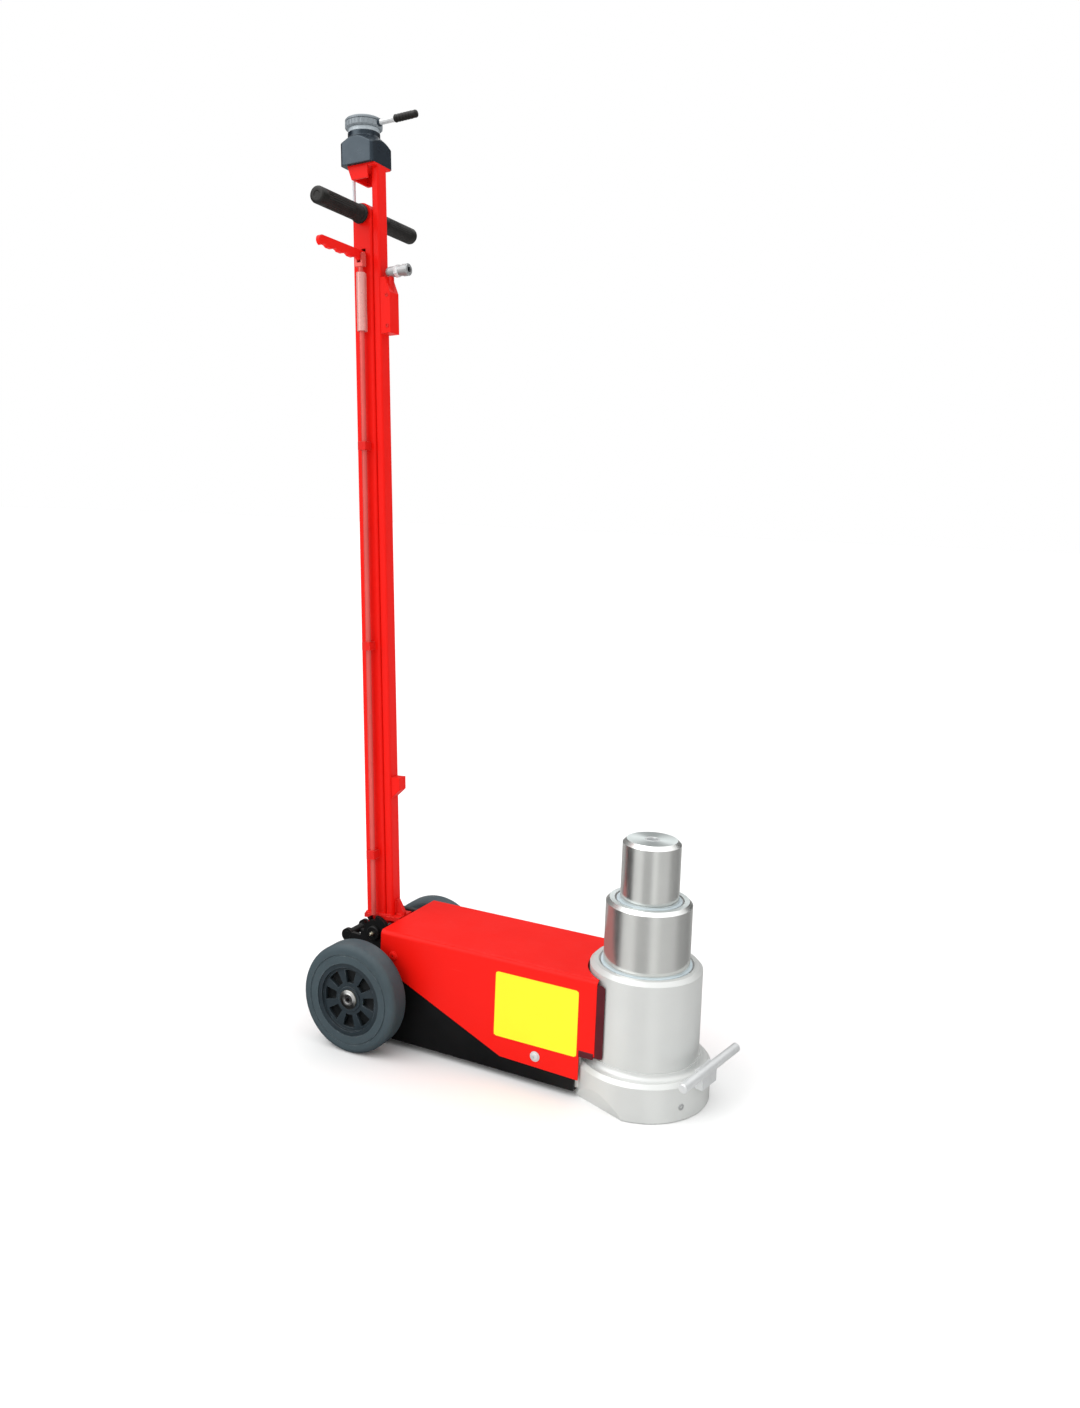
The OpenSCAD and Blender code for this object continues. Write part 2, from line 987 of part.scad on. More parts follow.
module pivot_pin() {
    color("gold")
        translate([-pivot_back, -lug_out, pivot_h])
            sideways(1) {
                cylinder(r = pin_r, h = 2 * lug_out + pin_end);
                translate([0, 0, -pin_head_h])
                    turned(pin_head_r, pin_head_h, 0, pin_head_h / 4);
            }
}

module axle() {
    half = track_half - axle_end;
    color("silver")
        difference() {
            translate([-axle_back, -half, axle_z])
                sideways(1)
                    turned(axle_r, 2 * half, axle_edge, axle_edge);
            for (side = [-1, 1])
                translate([-axle_back, side * (half + over), axle_z])
                    sideways(-side)
                        cylinder(r = centre_hole_r, h = centre_hole_depth + over);
        }
}

module axle_spacers() {
    color("#202224")
        for (side = [-1, 1])
            translate([-axle_back, side * pan_half, axle_z])
                sideways(side)
                    ring(spacer_r, axle_r + seat_gap, boss_in_y - free_gap - washer_h - pan_half);
}

module axle_washers() {
    color("silver")
        for (side = [-1, 1]) {
            translate([-axle_back, side * (boss_in_y - free_gap - washer_h), axle_z])
                sideways(side)
                    ring(washer_r, axle_r + seat_gap, washer_h);
            translate([-axle_back, side * (boss_out_y + free_gap), axle_z])
                sideways(side)
                    ring(washer_r, axle_r + seat_gap, clip_h);
        }
}

// Wheels, drawn with their outer face towards +Z

module tyre(side) {
    low = hub_r + seat_gap;
    half = wheel_w / 2;
    color("#3c4a52")
        at_wheel(side)
            rotate_extrude()
                difference() {
                    union() {
                        translate([low, -half])
                            square([wheel_r - tyre_shoulder - low, wheel_w]);
                        translate([low, tyre_shoulder - half])
                            square([wheel_r - low, wheel_w - 2 * tyre_shoulder]);
                        for (end = [-1, 1])
                            translate([wheel_r - tyre_shoulder, end * (half - tyre_shoulder)])
                                circle(tyre_shoulder);
                    }
                    for (end = [-1, 1])
                        translate([hub_r + (wheel_r - hub_r) * tyre_groove_share, end * half])
                            circle(tyre_groove_r);
                }
}

module hub_window() {
    turn = 180 / hub_windows * window_share;
    intersection() {
        difference() {
            circle(hub_r - hub_rim - window_edge);
            circle(window_in_r);
        }
        polygon([
            [0, 0],
            [hub_r, -hub_r * tan(turn)],
            [hub_r, hub_r * tan(turn)]
        ]);
    }
}

module hub(side) {
    half = wheel_w / 2;
    web_low = half - hub_recess - hub_web;
    color("#2a2f33")
        at_wheel(side)
            difference() {
                union() {
                    translate([0, 0, hub_in - half])
                        ring(hub_r, hub_r - hub_rim, wheel_w - 2 * hub_in);
                    translate([0, 0, web_low])
                        cylinder(r = hub_r - hub_rim / 2, h = hub_web);
                    translate([0, 0, hub_boss_in - half])
                        cylinder(r = hub_boss_r, h = wheel_w - hub_boss_in - hub_boss_out);
                }
                translate([0, 0, -wheel_w])
                    cylinder(r = bush_r + seat_gap, h = 2 * wheel_w);
                for (i = [1 : hub_windows])
                    rotate([0, 0, i * 360 / hub_windows])
                        translate([0, 0, web_low + hub_back])
                            linear_extrude(hub_web)
                                hub_window();
            }
}

module bush(side) {
    color("silver")
        at_wheel(side)
            translate([0, 0, hub_boss_in - wheel_w / 2])
                ring(bush_r, axle_r + run_gap, wheel_w - hub_boss_in - hub_boss_out);
}

module right_tyre() {
    tyre(-1);
}

module right_hub() {
    hub(-1);
}

module right_bush() {
    bush(-1);
}

module left_tyre() {
    tyre(1);
}

module left_hub() {
    hub(1);
}

module left_bush() {
    bush(1);
}

// Handle, drawn upright about its pivot

module rear_post() {
    color("red")
        at_handle()
            difference() {
                union() {
                    translate([post_mid, 0, foot_high])
                        box_tube(post_d, post_w, post_wall, crossbar_up - foot_high);
                    translate([post_mid, post_w / 2, crossbar_up])
                        rotate([90, 0, 0])
                            cylinder(r = post_d / 2, h = post_w);
                }
                translate([post_mid, post_w, crossbar_up])
                    rotate([90, 0, 0])
                        cylinder(r = crossbar_r + seat_gap, h = 2 * post_w);
                translate([-post_back - over, 0, lock_lever_up])
                    forward()
                        cylinder(r = lever_pin_r + seat_gap, h = post_d + 2 * over);
                translate([rod_x - lever_t / 2 - slot_gap, -post_w, lock_lever_up - slot_below])
                    cube([lever_t + 2 * slot_gap, post_w, slot_below + slot_above]);
            }
}

module front_tube() {
    color("red")
        at_handle() {
            translate([post_front + duct_d / 2, 0, foot_high])
                box_tube(duct_d, duct_w, duct_wall, head_up - bracket_wall - foot_high);
            side_plate(catch_w)
                polygon([
                    [duct_front, catch_up],
                    [duct_front + catch_out, catch_up + catch_slope],
                    [duct_front + catch_out, catch_up + catch_h],
                    [duct_front, catch_up + catch_h]
                ]);
        }
}

module foot_bracket() {
    color("#a01410")
        at_handle()
            difference() {
                union() {
                    translate([-foot_rear, -cheek_out, foot_low])
                        cube([foot_front + foot_rear, 2 * cheek_out, foot_high - foot_low]);
                    for (side = [-1, 1])
                        translate([0, side * (cheek_out - cheek_t / 2), 0])
                            side_plate(cheek_t) {
                                circle(cheek_r);
                                translate([-cheek_r, 0])
                                    square([2 * cheek_r, foot_low]);
                            }
                    side_plate(gusset_t)
                        polygon([
                            [duct_front, foot_high],
                            [foot_front, foot_high],
                            [foot_front, foot_high + gusset_foot],
                            [duct_front + gusset_foot, foot_high + gusset_h],
                            [duct_front, foot_high + gusset_h]
                        ]);
                }
                translate([0, -lug_out, 0])
                    sideways(1)
                        cylinder(r = pin_r + bush_wall + seat_gap, h = 2 * lug_out);
            }
}

module pivot_bush() {
    color("silver")
        at_handle()
            translate([0, -bush_half, 0])
                sideways(1)
                    ring(pin_r + bush_wall, pin_r + run_gap, 2 * bush_half);
}

module crossbar() {
    half = crossbar_half - grip_end;
    color("#202224")
        at_handle()
            translate([post_mid, -half, crossbar_up])
                sideways(1)
                    cylinder(r = crossbar_r, h = 2 * half);
}

module grip(side) {
    color("#1c1c1a")
        at_handle()
            translate([post_mid, side * grip_start, crossbar_up])
                sideways(side)
                    difference() {
                        union() {
                            turned(grip_r, crossbar_half - grip_start, grip_edge, 0);
                            cylinder(r = grip_r + grip_flange, h = grip_flange_w);
                        }
                        translate([0, 0, -over])
                            cylinder(r = crossbar_r + seat_gap,
                                h = crossbar_half - grip_end - grip_start + over);
                    }
}

module right_grip() {
    grip(-1);
}

module left_grip() {
    grip(1);
}

module head_bracket() {
    low = head_up - bracket_h;
    color("red")
        at_handle()
            difference() {
                side_plate(bracket_w)
                    polygon([
                        [-bracket_low_back, low],
                        [duct_front, low],
                        [duct_front, head_up],
                        [-bracket_top_back, head_up]
                    ]);
                side_plate(bracket_w - 2 * bracket_wall)
                    polygon([
                        [bracket_wall - bracket_low_back, low - over],
                        [duct_front + over, low - over],
                        [duct_front + over, head_up - bracket_wall],
                        [2 * bracket_wall - bracket_top_back, head_up - bracket_wall]
                    ]);
                translate([post_front, -bracket_w, low - over])
                    cube([duct_d + over, 2 * bracket_w, bracket_h - bracket_wall + over]);
            }
}

module valve_head() {
    color("#2f3a44")
        at_handle()
            translate([head_x, 0, head_up])
                difference() {
                    union() {
                        linear_extrude(head_block)
                            rounded(head_d, head_w, head_corner);
                        translate([0, 0, head_block])
                            intersection() {
                                linear_extrude(head_shoulder)
                                    rounded(head_d, head_w, head_corner);
                                translate([knob_x - head_x, 0, 0])
                                    cylinder(r1 = head_round, r2 = neck_r, h = head_shoulder);
                            }
                        translate([knob_x - head_x, 0, head_block + head_shoulder])
                            cylinder(r = neck_r, h = head_neck);
                    }
                    translate([knob_x - head_x, 0, knob_low - head_up - spindle_l - over])
                        cylinder(r = spindle_r + run_gap, h = spindle_l + over);
                }
}

module neck_ring() {
    color("gray")
        at_handle()
            translate([knob_x, 0, neck_top])
                ring(neck_ring_r, spindle_r + run_gap, neck_ring_h);
}

module at_control_arm() {
    at_handle()
        translate([knob_x, 0, knob_low + knob_h * arm_up_share])
            rotate([0, 90 - arm_rise, 0])
                children();
}

module knob_profile() {
    circle(knob_r);
    for (i = [1 : knob_ribs])
        rotate([0, 0, (i - 0.5) * 360 / knob_ribs])
            translate([knob_r, 0])
                circle(knob_rib_r);
}

module valve_knob() {
    color("#9aa3a8")
        difference() {
            at_handle()
                translate([knob_x, 0, knob_low]) {
                    turned(knob_r, knob_h, knob_edge, knob_edge);
                    translate([0, 0, knob_edge])
                        linear_extrude(knob_h - 2 * knob_edge)
                            knob_profile();
                    translate([0, 0, -spindle_l])
                        cylinder(r = spindle_r, h = spindle_l + over);
                }
            at_control_arm()
                translate([0, 0, arm_in])
                    cylinder(r = arm_r + seat_gap, h = control_l);
        }
}

module control_arm() {
    color("silver")
        at_control_arm()
            translate([0, 0, arm_in])
                cylinder(r = arm_r, h = control_l - control_grip_l + control_grip_in - arm_in);
}

module control_grip() {
    color("#1c1c1a")
        at_control_arm()
            translate([0, 0, control_l - control_grip_l])
                difference() {
                    turned(control_grip_r, control_grip_l, control_grip_edge, control_grip_edge);
                    translate([0, 0, -over])
                        cylinder(r = arm_r + seat_gap, h = control_grip_in + over);
                }
}

module inlet_box() {
    color("red")
        at_handle()
            difference() {
                side_plate(duct_w)
                    polygon([
                        [duct_front, box_low],
                        [duct_front + box_out, box_low],
                        [duct_front + box_out, box_high - box_step],
                        [duct_front + box_top_out, box_high],
                        [duct_front, box_high]
                    ]);
                translate([stem_x, 0, box_high - stem_sink])
                    cylinder(r = stem_r + seat_gap, h = stem_sink + over);
            }
}

module inlet_elbow() {
    color("goldenrod")
        at_handle()
            difference() {
                union() {
                    translate([stem_x, 0, box_high - stem_sink])
                        cylinder(r = stem_r, h = fitting_rise + stem_sink);
                    translate([stem_x, 0, fitting_z])
                        sphere(fitting_ball_r);
                    translate([stem_x, 0, fitting_z])
                        forward()
                            cylinder(r = fitting_r, h = fitting_end - stem_x);
                    translate([fitting_end - fitting_ring_w, 0, fitting_z])
                        forward()
                            cylinder(r = fitting_ring_r, h = fitting_ring_w - over);
                }
                translate([fitting_end - inlet_depth, 0, fitting_z])
                    forward()
                        cylinder(r = inlet_r, h = inlet_depth + over);
            }
}

module air_tube() {
    top = air_tube_up + air_bend_r;
    color("black")
        at_handle() {
            translate([-air_tube_back, 0, top])
                cylinder(r = air_tube_r, h = head_up - top);
            translate([-air_tube_back, 0, top])
                mirror([0, 0, 1])
                    quarter_bend(air_bend_r, air_tube_r);
            translate([air_bend_r - air_tube_back, 0, air_tube_up])
                forward()
                    cylinder(r = air_tube_r, h = air_tube_back - air_bend_r - post_back);
        }
}

// Lock linkage on the handle's right side

module rod_guides() {
    reach = -rod_y + guide_half - post_w / 2;
    color("#a01410")
        at_handle()
            for (s = guide_shares)
                translate([rod_x, 0, foot_high + s * (housing_low - foot_high)])
                    difference() {
                        translate([-guide_half, -post_w / 2 - reach, 0])
                            cube([2 * guide_half, reach, guide_h]);
                        translate([0, rod_y, -over])
                            cylinder(r = lock_rod_r + rod_gap, h = guide_h + 2 * over);
                    }
}

module spring_housing() {
    color("lightgray")
        at_handle()
            difference() {
                union() {
                    translate([rod_x, rod_y, housing_low])
                        cylinder(r = housing_r, h = housing_high - housing_low);
                    translate([rod_x - housing_pad_w / 2, rod_y, housing_low])
                        cube([housing_pad_w, -rod_y - post_w / 2, housing_high - housing_low]);
                }
                translate([rod_x, rod_y, housing_low - over])
                    cylinder(r = housing_bore_r,
                        h = housing_high - housing_low - housing_cap + over);
                translate([rod_x, rod_y, housing_low])
                    cylinder(r = lock_rod_r + rod_gap, h = housing_high);
            }
}

module lever_pin() {
    color("silver")
        at_handle()
            translate([-post_back, 0, lock_lever_up])
                forward() {
                    cylinder(r = lever_pin_r, h = post_d);
                    translate([0, 0, -lever_head_h])
                        cylinder(r = lever_head_r, h = lever_head_h);
                }
}

// The lever's outline, its X along Y and its Y along Z, about its pin
module lever_profile() {
    tip = lever_tip_r - lock_lever_l;
    step = (lock_lever_l - scallop_end - scallop_first) / (scallops - 1);
    difference() {
        union() {
            circle(lever_eye_r);
            polygon([
                [0, lever_eye_r],
                [tip, lever_tip_r],
                [tip, -lever_tip_r],
                [0, -lever_eye_r]
            ]);
            translate([tip, 0])
                circle(lever_tip_r);
        }
        circle(lever_pin_r + run_gap);
        for (i = [0 : scallops - 1])
            translate([-scallop_first - i * step, scallop_bite - lever_tip_r - scallop_r])
                circle(scallop_r);
        for (shift = [0, fork_slot])
            translate([rod_y - shift, 0])
                circle(fork_pin_r + fork_pin_gap);
        translate([rod_y - fork_slot, -fork_pin_r - fork_pin_gap])
            square([fork_slot, 2 * (fork_pin_r + fork_pin_gap)]);
    }
}

module lock_lever() {
    color("silver")
        at_handle()
            translate([rod_x - lever_t / 2, 0, lock_lever_up])
                rotate([90, 0, 90])
                    linear_extrude(lever_t)
                        lever_profile();
}

module lock_rod() {
    in = lever_t / 2 + fork_gap;
    out = in + fork_wall;
    color("silver")
        at_handle()
            translate([rod_x, rod_y, 0]) {
                translate([0, 0, rod_low])
                    turned(lock_rod_r, fork_low - rod_low + over, 0, rod_tip);
                translate([0, 0, rod_collar_up])
                    cylinder(r = rod_collar_r, h = rod_collar_h);
                translate([-out, -fork_half, fork_low])
                    cube([2 * out, 2 * fork_half, fork_base]);
                for (x = [-out, in])
                    translate([x, 0, lock_lever_up]) {
                        forward()
                            cylinder(r = fork_half, h = fork_wall);
                        translate([0, -fork_half, -fork_drop - fork_base])
                            cube([fork_wall, 2 * fork_half, fork_drop + fork_base]);
                    }
                translate([-out, 0, lock_lever_up])
                    forward()
                        cylinder(r = fork_pin_r, h = 2 * out);
            }
}

base_block();
carry_bar();
outer_cylinder();
cylinder_gland();
cylinder_wiper();
pan();
cover();
cover_screws();
oil_tank();
tank_plug();
pump_block();
motor_head();
motor_barrel();
motor_cap();
muffler();
pressure_pipe();
motor_hose();
swivel_elbow();
left_lug();
right_lug();
tilt_stop();
pivot_pin();
axle();
axle_spacers();
axle_washers();
stage_one_ram();
stage_one_gland();
stage_one_wiper();
stage_one_seal();
stage_two_ram();
stage_two_seal();
right_tyre();
right_hub();
right_bush();
left_tyre();
left_hub();
left_bush();
air_piston();
rear_post();
front_tube();
foot_bracket();
pivot_bush();
crossbar();
right_grip();
left_grip();
head_bracket();
valve_head();
neck_ring();
inlet_box();
inlet_elbow();
air_tube();
rod_guides();
spring_housing();
lever_pin();
valve_knob();
control_arm();
control_grip();
lock_lever();
lock_rod();
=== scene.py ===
# An air hydraulic floor jack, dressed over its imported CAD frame. Everything is in metres.
import json
from math import cos, pi, radians, sin

import bmesh
import bpy
from mathutils import Matrix, Vector


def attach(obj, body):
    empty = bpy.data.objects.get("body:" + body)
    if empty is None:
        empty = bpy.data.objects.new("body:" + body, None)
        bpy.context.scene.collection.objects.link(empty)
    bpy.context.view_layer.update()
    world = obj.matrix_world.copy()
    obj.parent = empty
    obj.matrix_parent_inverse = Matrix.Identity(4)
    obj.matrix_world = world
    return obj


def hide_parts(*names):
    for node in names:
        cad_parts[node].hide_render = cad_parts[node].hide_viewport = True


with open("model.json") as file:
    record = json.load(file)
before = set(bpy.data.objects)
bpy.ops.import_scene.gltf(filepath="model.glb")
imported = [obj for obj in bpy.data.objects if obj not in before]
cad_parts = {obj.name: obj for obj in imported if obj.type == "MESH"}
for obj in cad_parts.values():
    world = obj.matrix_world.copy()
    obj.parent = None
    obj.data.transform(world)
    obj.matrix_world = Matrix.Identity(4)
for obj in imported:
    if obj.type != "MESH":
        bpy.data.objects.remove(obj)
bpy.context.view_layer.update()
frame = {"nodes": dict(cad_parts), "record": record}
scene = bpy.context.scene
print("frame loaded:", len(frame["nodes"]), "nodes")

# camera and studio

cameraView = {
    "spot": (0.4695, -1.3237, 0.7418),
    "yaw": -0.454,
    "pitch": 0.070,
    "roll": 0.041,
    "sensor": 36,
    "lens": 28.04,
    "shiftY": -0.0774,
    "clip": (0.05, 100),
}


def placeCamera(view):
    yaw, pitch, roll = view["yaw"], view["pitch"], view["roll"]
    ahead = Vector((sin(yaw) * cos(pitch), cos(yaw) * cos(pitch), -sin(pitch)))
    level = Vector((cos(yaw), -sin(yaw), 0))
    upright = level.cross(ahead)
    right = level * cos(roll) + upright * sin(roll)
    up = upright * cos(roll) - level * sin(roll)
    lens = bpy.data.cameras.new("jackCamera")
    lens.sensor_width, lens.lens = view["sensor"], view["lens"]
    lens.shift_y = view["shiftY"]
    lens.clip_start, lens.clip_end = view["clip"]
    camera = bpy.data.objects.new("jackCamera", lens)
    scene.collection.objects.link(camera)
    turn = Matrix((right, up, -ahead)).transposed()
    camera.matrix_world = Matrix.Translation(view["spot"]) @ turn.to_4x4()
    scene.camera = camera


placeCamera(cameraView)


def put(tree, kind, feeds=None, **settings):
    node = tree.nodes.new("ShaderNode" + kind)
    for key, value in settings.items():
        setattr(node, key, value)
    for key, value in (feeds or {}).items():
        if isinstance(value, bpy.types.NodeSocket):
            tree.links.new(value, node.inputs[key])
        else:
            node.inputs[key].default_value = value
    return node


def calc(tree, operation, first, second=0.0):
    return put(tree, "Math", {0: first, 1: second}, operation=operation).outputs[0]


def spread(tree, value, low, high, toLow=0.0, toHigh=1.0):
    feeds = {"Value": value, "From Min": low, "From Max": high, "To Min": toLow, "To Max": toHigh}
    return put(tree, "MapRange", feeds, clamp=True).outputs[0]


def mixTint(tree, factor, first, second, mode="MIX"):
    feeds = {0: factor, 6: first, 7: second}
    return put(tree, "Mix", feeds, data_type="RGBA", blend_type=mode).outputs[2]


def grey(level):
    return (level, level, level, 1)


studio = {
    "backdrop": 1.0,
    "ambient": 0.62,
    "overhead": 1.15,
    "overheadRise": (0.45, 0.85),       # upward share of a ray where the overhead light sets in
    "bandBlue": 0.985,
    "cameraSide": -70.0,                # degrees, where the first picture is taken from
    # turn from the camera's side in degrees, and the brightness that polished faces see there:
    # walls above the horizon, and the floor round the jack
    "walls": ((-180, 0.14), (-130, 0.20), (-116, 0.12), (-110, 0.0), (-76, 0.0), (-68, 0.80),
              (-34, 0.92), (-27, 0.44), (2, 0.42), (8, 0.70), (20, 0.72), (30, 0.42), (66, 0.36),
              (90, 0.12), (140, 0.08), (180, 0.14)),
    "floor": ((-180, 0.34), (-128, 0.34), (-118, 0.12), (-110, 0.0), (-76, 0.0), (-66, 0.56),
              (-36, 0.62), (-27, 0.34), (2, 0.33), (8, 0.62), (20, 0.66), (30, 0.45), (68, 0.44),
              (84, 0.26), (126, 0.18), (146, 0.34), (180, 0.34)),
}
lampLooks = (        # wide suns, so that the pale floor is as bright far away as it is near
    {"name": "keyPanel", "from": (-1.5, -2.6, 2.5), "spread": 60, "power": 1.35},
    {"name": "topPanel", "from": (0.5, 0.3, 3.2), "spread": 110, "power": 1.20},
)


def addBands(tree, eastward, northward, bands):
    turn = calc(tree, "ARCTAN2", northward, eastward)
    turn = calc(tree, "SUBTRACT", turn, radians(studio["cameraSide"]))
    turn = put(tree, "Math", {0: turn, 1: pi, 2: -pi}, operation="WRAP").outputs[0]
    ramp = put(tree, "ValToRGB", {"Fac": spread(tree, turn, -pi, pi)})
    stops = ramp.color_ramp.elements
    while len(stops) < len(bands):
        stops.new(0.5)
    for stop, (angle, level) in zip(stops, bands):
        stop.position = (angle + 180) / 360
        stop.color = (level, level, level * studio["bandBlue"], 1)
    return ramp.outputs[0]


def buildStudio():
    world = bpy.data.worlds.new("paleStudio")
    scene.world = world
    world.use_nodes = True
    tree = world.node_tree
    background = tree.nodes["Background"]
    toward = put(tree, "SeparateXYZ", {0: put(tree, "TexCoord").outputs["Generated"]}).outputs
    walls = addBands(tree, toward[0], toward[1], studio["walls"])
    height = spread(tree, toward[2], *studio["overheadRise"])
    lit = mixTint(tree, height, walls, grey(studio["overhead"]))
    path = put(tree, "LightPath").outputs
    lit = mixTint(tree, path["Is Glossy Ray"], grey(studio["ambient"]), lit)
    lit = mixTint(tree, path["Is Camera Ray"], lit, grey(studio["backdrop"]))
    tree.links.new(lit, background.inputs["Color"])
    for look in lampLooks:
        lamp = bpy.data.lights.new(look["name"], "SUN")
        lamp.angle, lamp.energy = radians(look["spread"]), look["power"]
        lampObject = bpy.data.objects.new(look["name"], lamp)
        lampObject.rotation_euler = Vector(look["from"]).to_track_quat("Z", "Y").to_euler()
        scene.collection.objects.link(lampObject)


buildStudio()
scene.view_settings.view_transform = "Standard"
print("camera and studio ready")

# shared effects, as shader groups


def newGroup(name, entries, results):
    tree = bpy.data.node_groups.new(name, "ShaderNodeTree")
    for label, kind, value in entries:
        socket = tree.interface.new_socket(name=label, in_out="INPUT",
                                           socket_type="NodeSocket" + kind)
        socket.default_value = value
    for label, kind in results:
        tree.interface.new_socket(name=label, in_out="OUTPUT", socket_type="NodeSocket" + kind)
    given = tree.nodes.new("NodeGroupInput").outputs
    made = tree.nodes.new("NodeGroupOutput").inputs
    return tree, given, made


def noise(tree, place, scale, detail=3.0, rough=0.55, warp=0.0):
    feeds = {"Vector": place, "Scale": scale, "Detail": detail, "Roughness": rough,
             "Distortion": warp}
    return put(tree, "TexNoise", feeds).outputs["Fac"]


grainEntries = [("Scale", "Float", 400.0), ("Stretch", "Vector", (1, 1, 1))]
grainResults = [("Height", "Float"), ("Tone", "Float")]
grainLooks = {       # fine, pores, smear and tone are shares of the grain's own scale
    "paintPeel": {"fine": 5.0, "fineHigh": 0.18, "tone": 0.09, "span": (0.3, 0.7)},
    "castSkin": {"fine": 2.3, "tone": 0.2, "span": (0.3, 0.7)},
    "mouldGrain": {"pores": 0.6, "poresDeep": 0.4, "tone": 0.04, "span": (0.32, 0.68)},
    "turnedMarks": {"flatFrom": 0.7, "smear": 0.012, "mix": 0.5, "span": (0.36, 0.64)},
    "drawnGrain": {"tone": 0.1, "span": (0.32, 0.68)},
}


def grainStart(name):
    tree, given, made = newGroup(name, grainEntries, grainResults)
    place = put(tree, "TexCoord").outputs["Object"]
    feeds = {0: place, 1: given["Stretch"]}
    place = put(tree, "VectorMath", feeds, operation="MULTIPLY").outputs[0]
    return tree, given, made, place, grainLooks[name]


def scaled(tree, given, share):
    return calc(tree, "MULTIPLY", given["Scale"], share)


def grainEnd(tree, made, height, tone):
    tree.links.new(height, made["Height"])
    tree.links.new(tone, made["Tone"])
    return tree


def buildPaintPeel():
    tree, given, made, place, look = grainStart("paintPeel")    # the ripple of sprayed enamel
    coarse = noise(tree, place, given["Scale"], detail=1.5)
    fine = noise(tree, place, scaled(tree, given, look["fine"]), detail=1.0)
    height = calc(tree, "ADD", coarse, calc(tree, "MULTIPLY", fine, look["fineHigh"]))
    tone = noise(tree, place, scaled(tree, given, look["tone"]), detail=5.0, rough=0.65)
    return grainEnd(tree, made, height, spread(tree, tone, *look["span"]))


def buildCastSkin():
    tree, given, made, place, look = grainStart("castSkin")     # pits and lumps of a sand casting
    feeds = {"Vector": place, "Scale": given["Scale"]}
    cells = put(tree, "TexVoronoi", feeds, feature="SMOOTH_F1").outputs["Distance"]
    rough = noise(tree, place, scaled(tree, given, look["fine"]), detail=6.0, rough=0.7)
    tone = noise(tree, place, scaled(tree, given, look["tone"]), detail=4.0, rough=0.6)
    height = calc(tree, "ADD", cells, rough)
    return grainEnd(tree, made, height, spread(tree, tone, *look["span"]))


def buildMouldGrain():
    tree, given, made, place, look = grainStart("mouldGrain")   # eroded plastic and dull rubber
    fine = noise(tree, place, given["Scale"], detail=4.0, rough=0.75)
    feeds = {"Vector": place, "Scale": scaled(tree, given, look["pores"])}
    pores = put(tree, "TexVoronoi", feeds).outputs["Distance"]
    height = calc(tree, "ADD", fine, calc(tree, "MULTIPLY", pores, look["poresDeep"]))
    tone = noise(tree, place, scaled(tree, given, look["tone"]), detail=5.0, rough=0.6)
    return grainEnd(tree, made, height, spread(tree, tone, *look["span"]))


def buildTurnedMarks():
    tree, given, made, place, look = grainStart("turnedMarks")  # fine rings about the axis
    axes = put(tree, "SeparateXYZ", {0: place}).outputs
    squares = [calc(tree, "POWER", axes[index], 2.0) for index in (0, 1)]
    radius = calc(tree, "SQRT", calc(tree, "ADD", *squares))
    normal = put(tree, "TexCoord").outputs["Normal"]
    upward = put(tree, "SeparateXYZ", {0: normal}).outputs[2]
    flat = calc(tree, "GREATER_THAN", calc(tree, "ABSOLUTE", upward), look["flatFrom"])
    run = put(tree, "Mix", {0: flat, 2: axes[2], 3: radius}, data_type="FLOAT").outputs[0]
    feeds = {"W": calc(tree, "MULTIPLY", run, given["Scale"]), "Scale": 1.0, "Detail": 3.0}
    rings = put(tree, "TexNoise", feeds, noise_dimensions="1D").outputs["Fac"]
    smear = noise(tree, place, scaled(tree, given, look["smear"]), detail=4.0, rough=0.6)
    halves = [calc(tree, "MULTIPLY", value, look["mix"]) for value in (rings, smear)]
    tone = spread(tree, calc(tree, "ADD", *halves), *look["span"])
    return grainEnd(tree, made, rings, tone)


def buildDrawnGrain():
    tree, given, made, place, look = grainStart("drawnGrain")   # long lines of drawn bar and tube
    lines = noise(tree, place, given["Scale"], detail=5.0, rough=0.7)
    smear = noise(tree, place, scaled(tree, given, look["tone"]), detail=3.0, rough=0.6)
    return grainEnd(tree, made, lines, spread(tree, smear, *look["span"]))


effectLooks = {      # pairs are the two values between which an effect sets in
    "drift": {"span": (0.3, 0.7)},
    "wearAndHighlight": {"step": (0.02, 0.22), "patches": (0.48, 0.60)},
    "dust": {"rise": (0.1, 1.0), "scale": 26.0, "span": (0.40, 0.75), "dulls": 0.5,
             "tint": (0.46, 0.44, 0.41, 1)},
    "scuff": {"warp": 0.6, "lines": (0.64, 0.70), "scale": 18.0, "places": (0.50, 0.62)},
    "faced": {"rise": (0.90, 0.97), "dulls": 0.28},
    "coatRough": 0.12,
    "bevelSamples": 4,
}


def buildToneDrift():
    entries = [("Colour", "Color", (1, 1, 1, 1)), ("Scale", "Float", 12.0),
               ("Strength", "Float", 0.08)]
    tree, given, made = newGroup("toneDrift", entries, [("Colour", "Color")])
    place = put(tree, "TexCoord").outputs["Object"]
    wide = noise(tree, place, given["Scale"], detail=5.0, rough=0.6)
    wide = spread(tree, wide, *effectLooks["drift"]["span"], -1.0, 1.0)
    swing = calc(tree, "MULTIPLY", wide, given["Strength"])
    feeds = {"Value": calc(tree, "ADD", swing, 1.0), "Color": given["Colour"]}
    tree.links.new(put(tree, "HueSaturation", feeds).outputs[0], made["Colour"])
    return tree
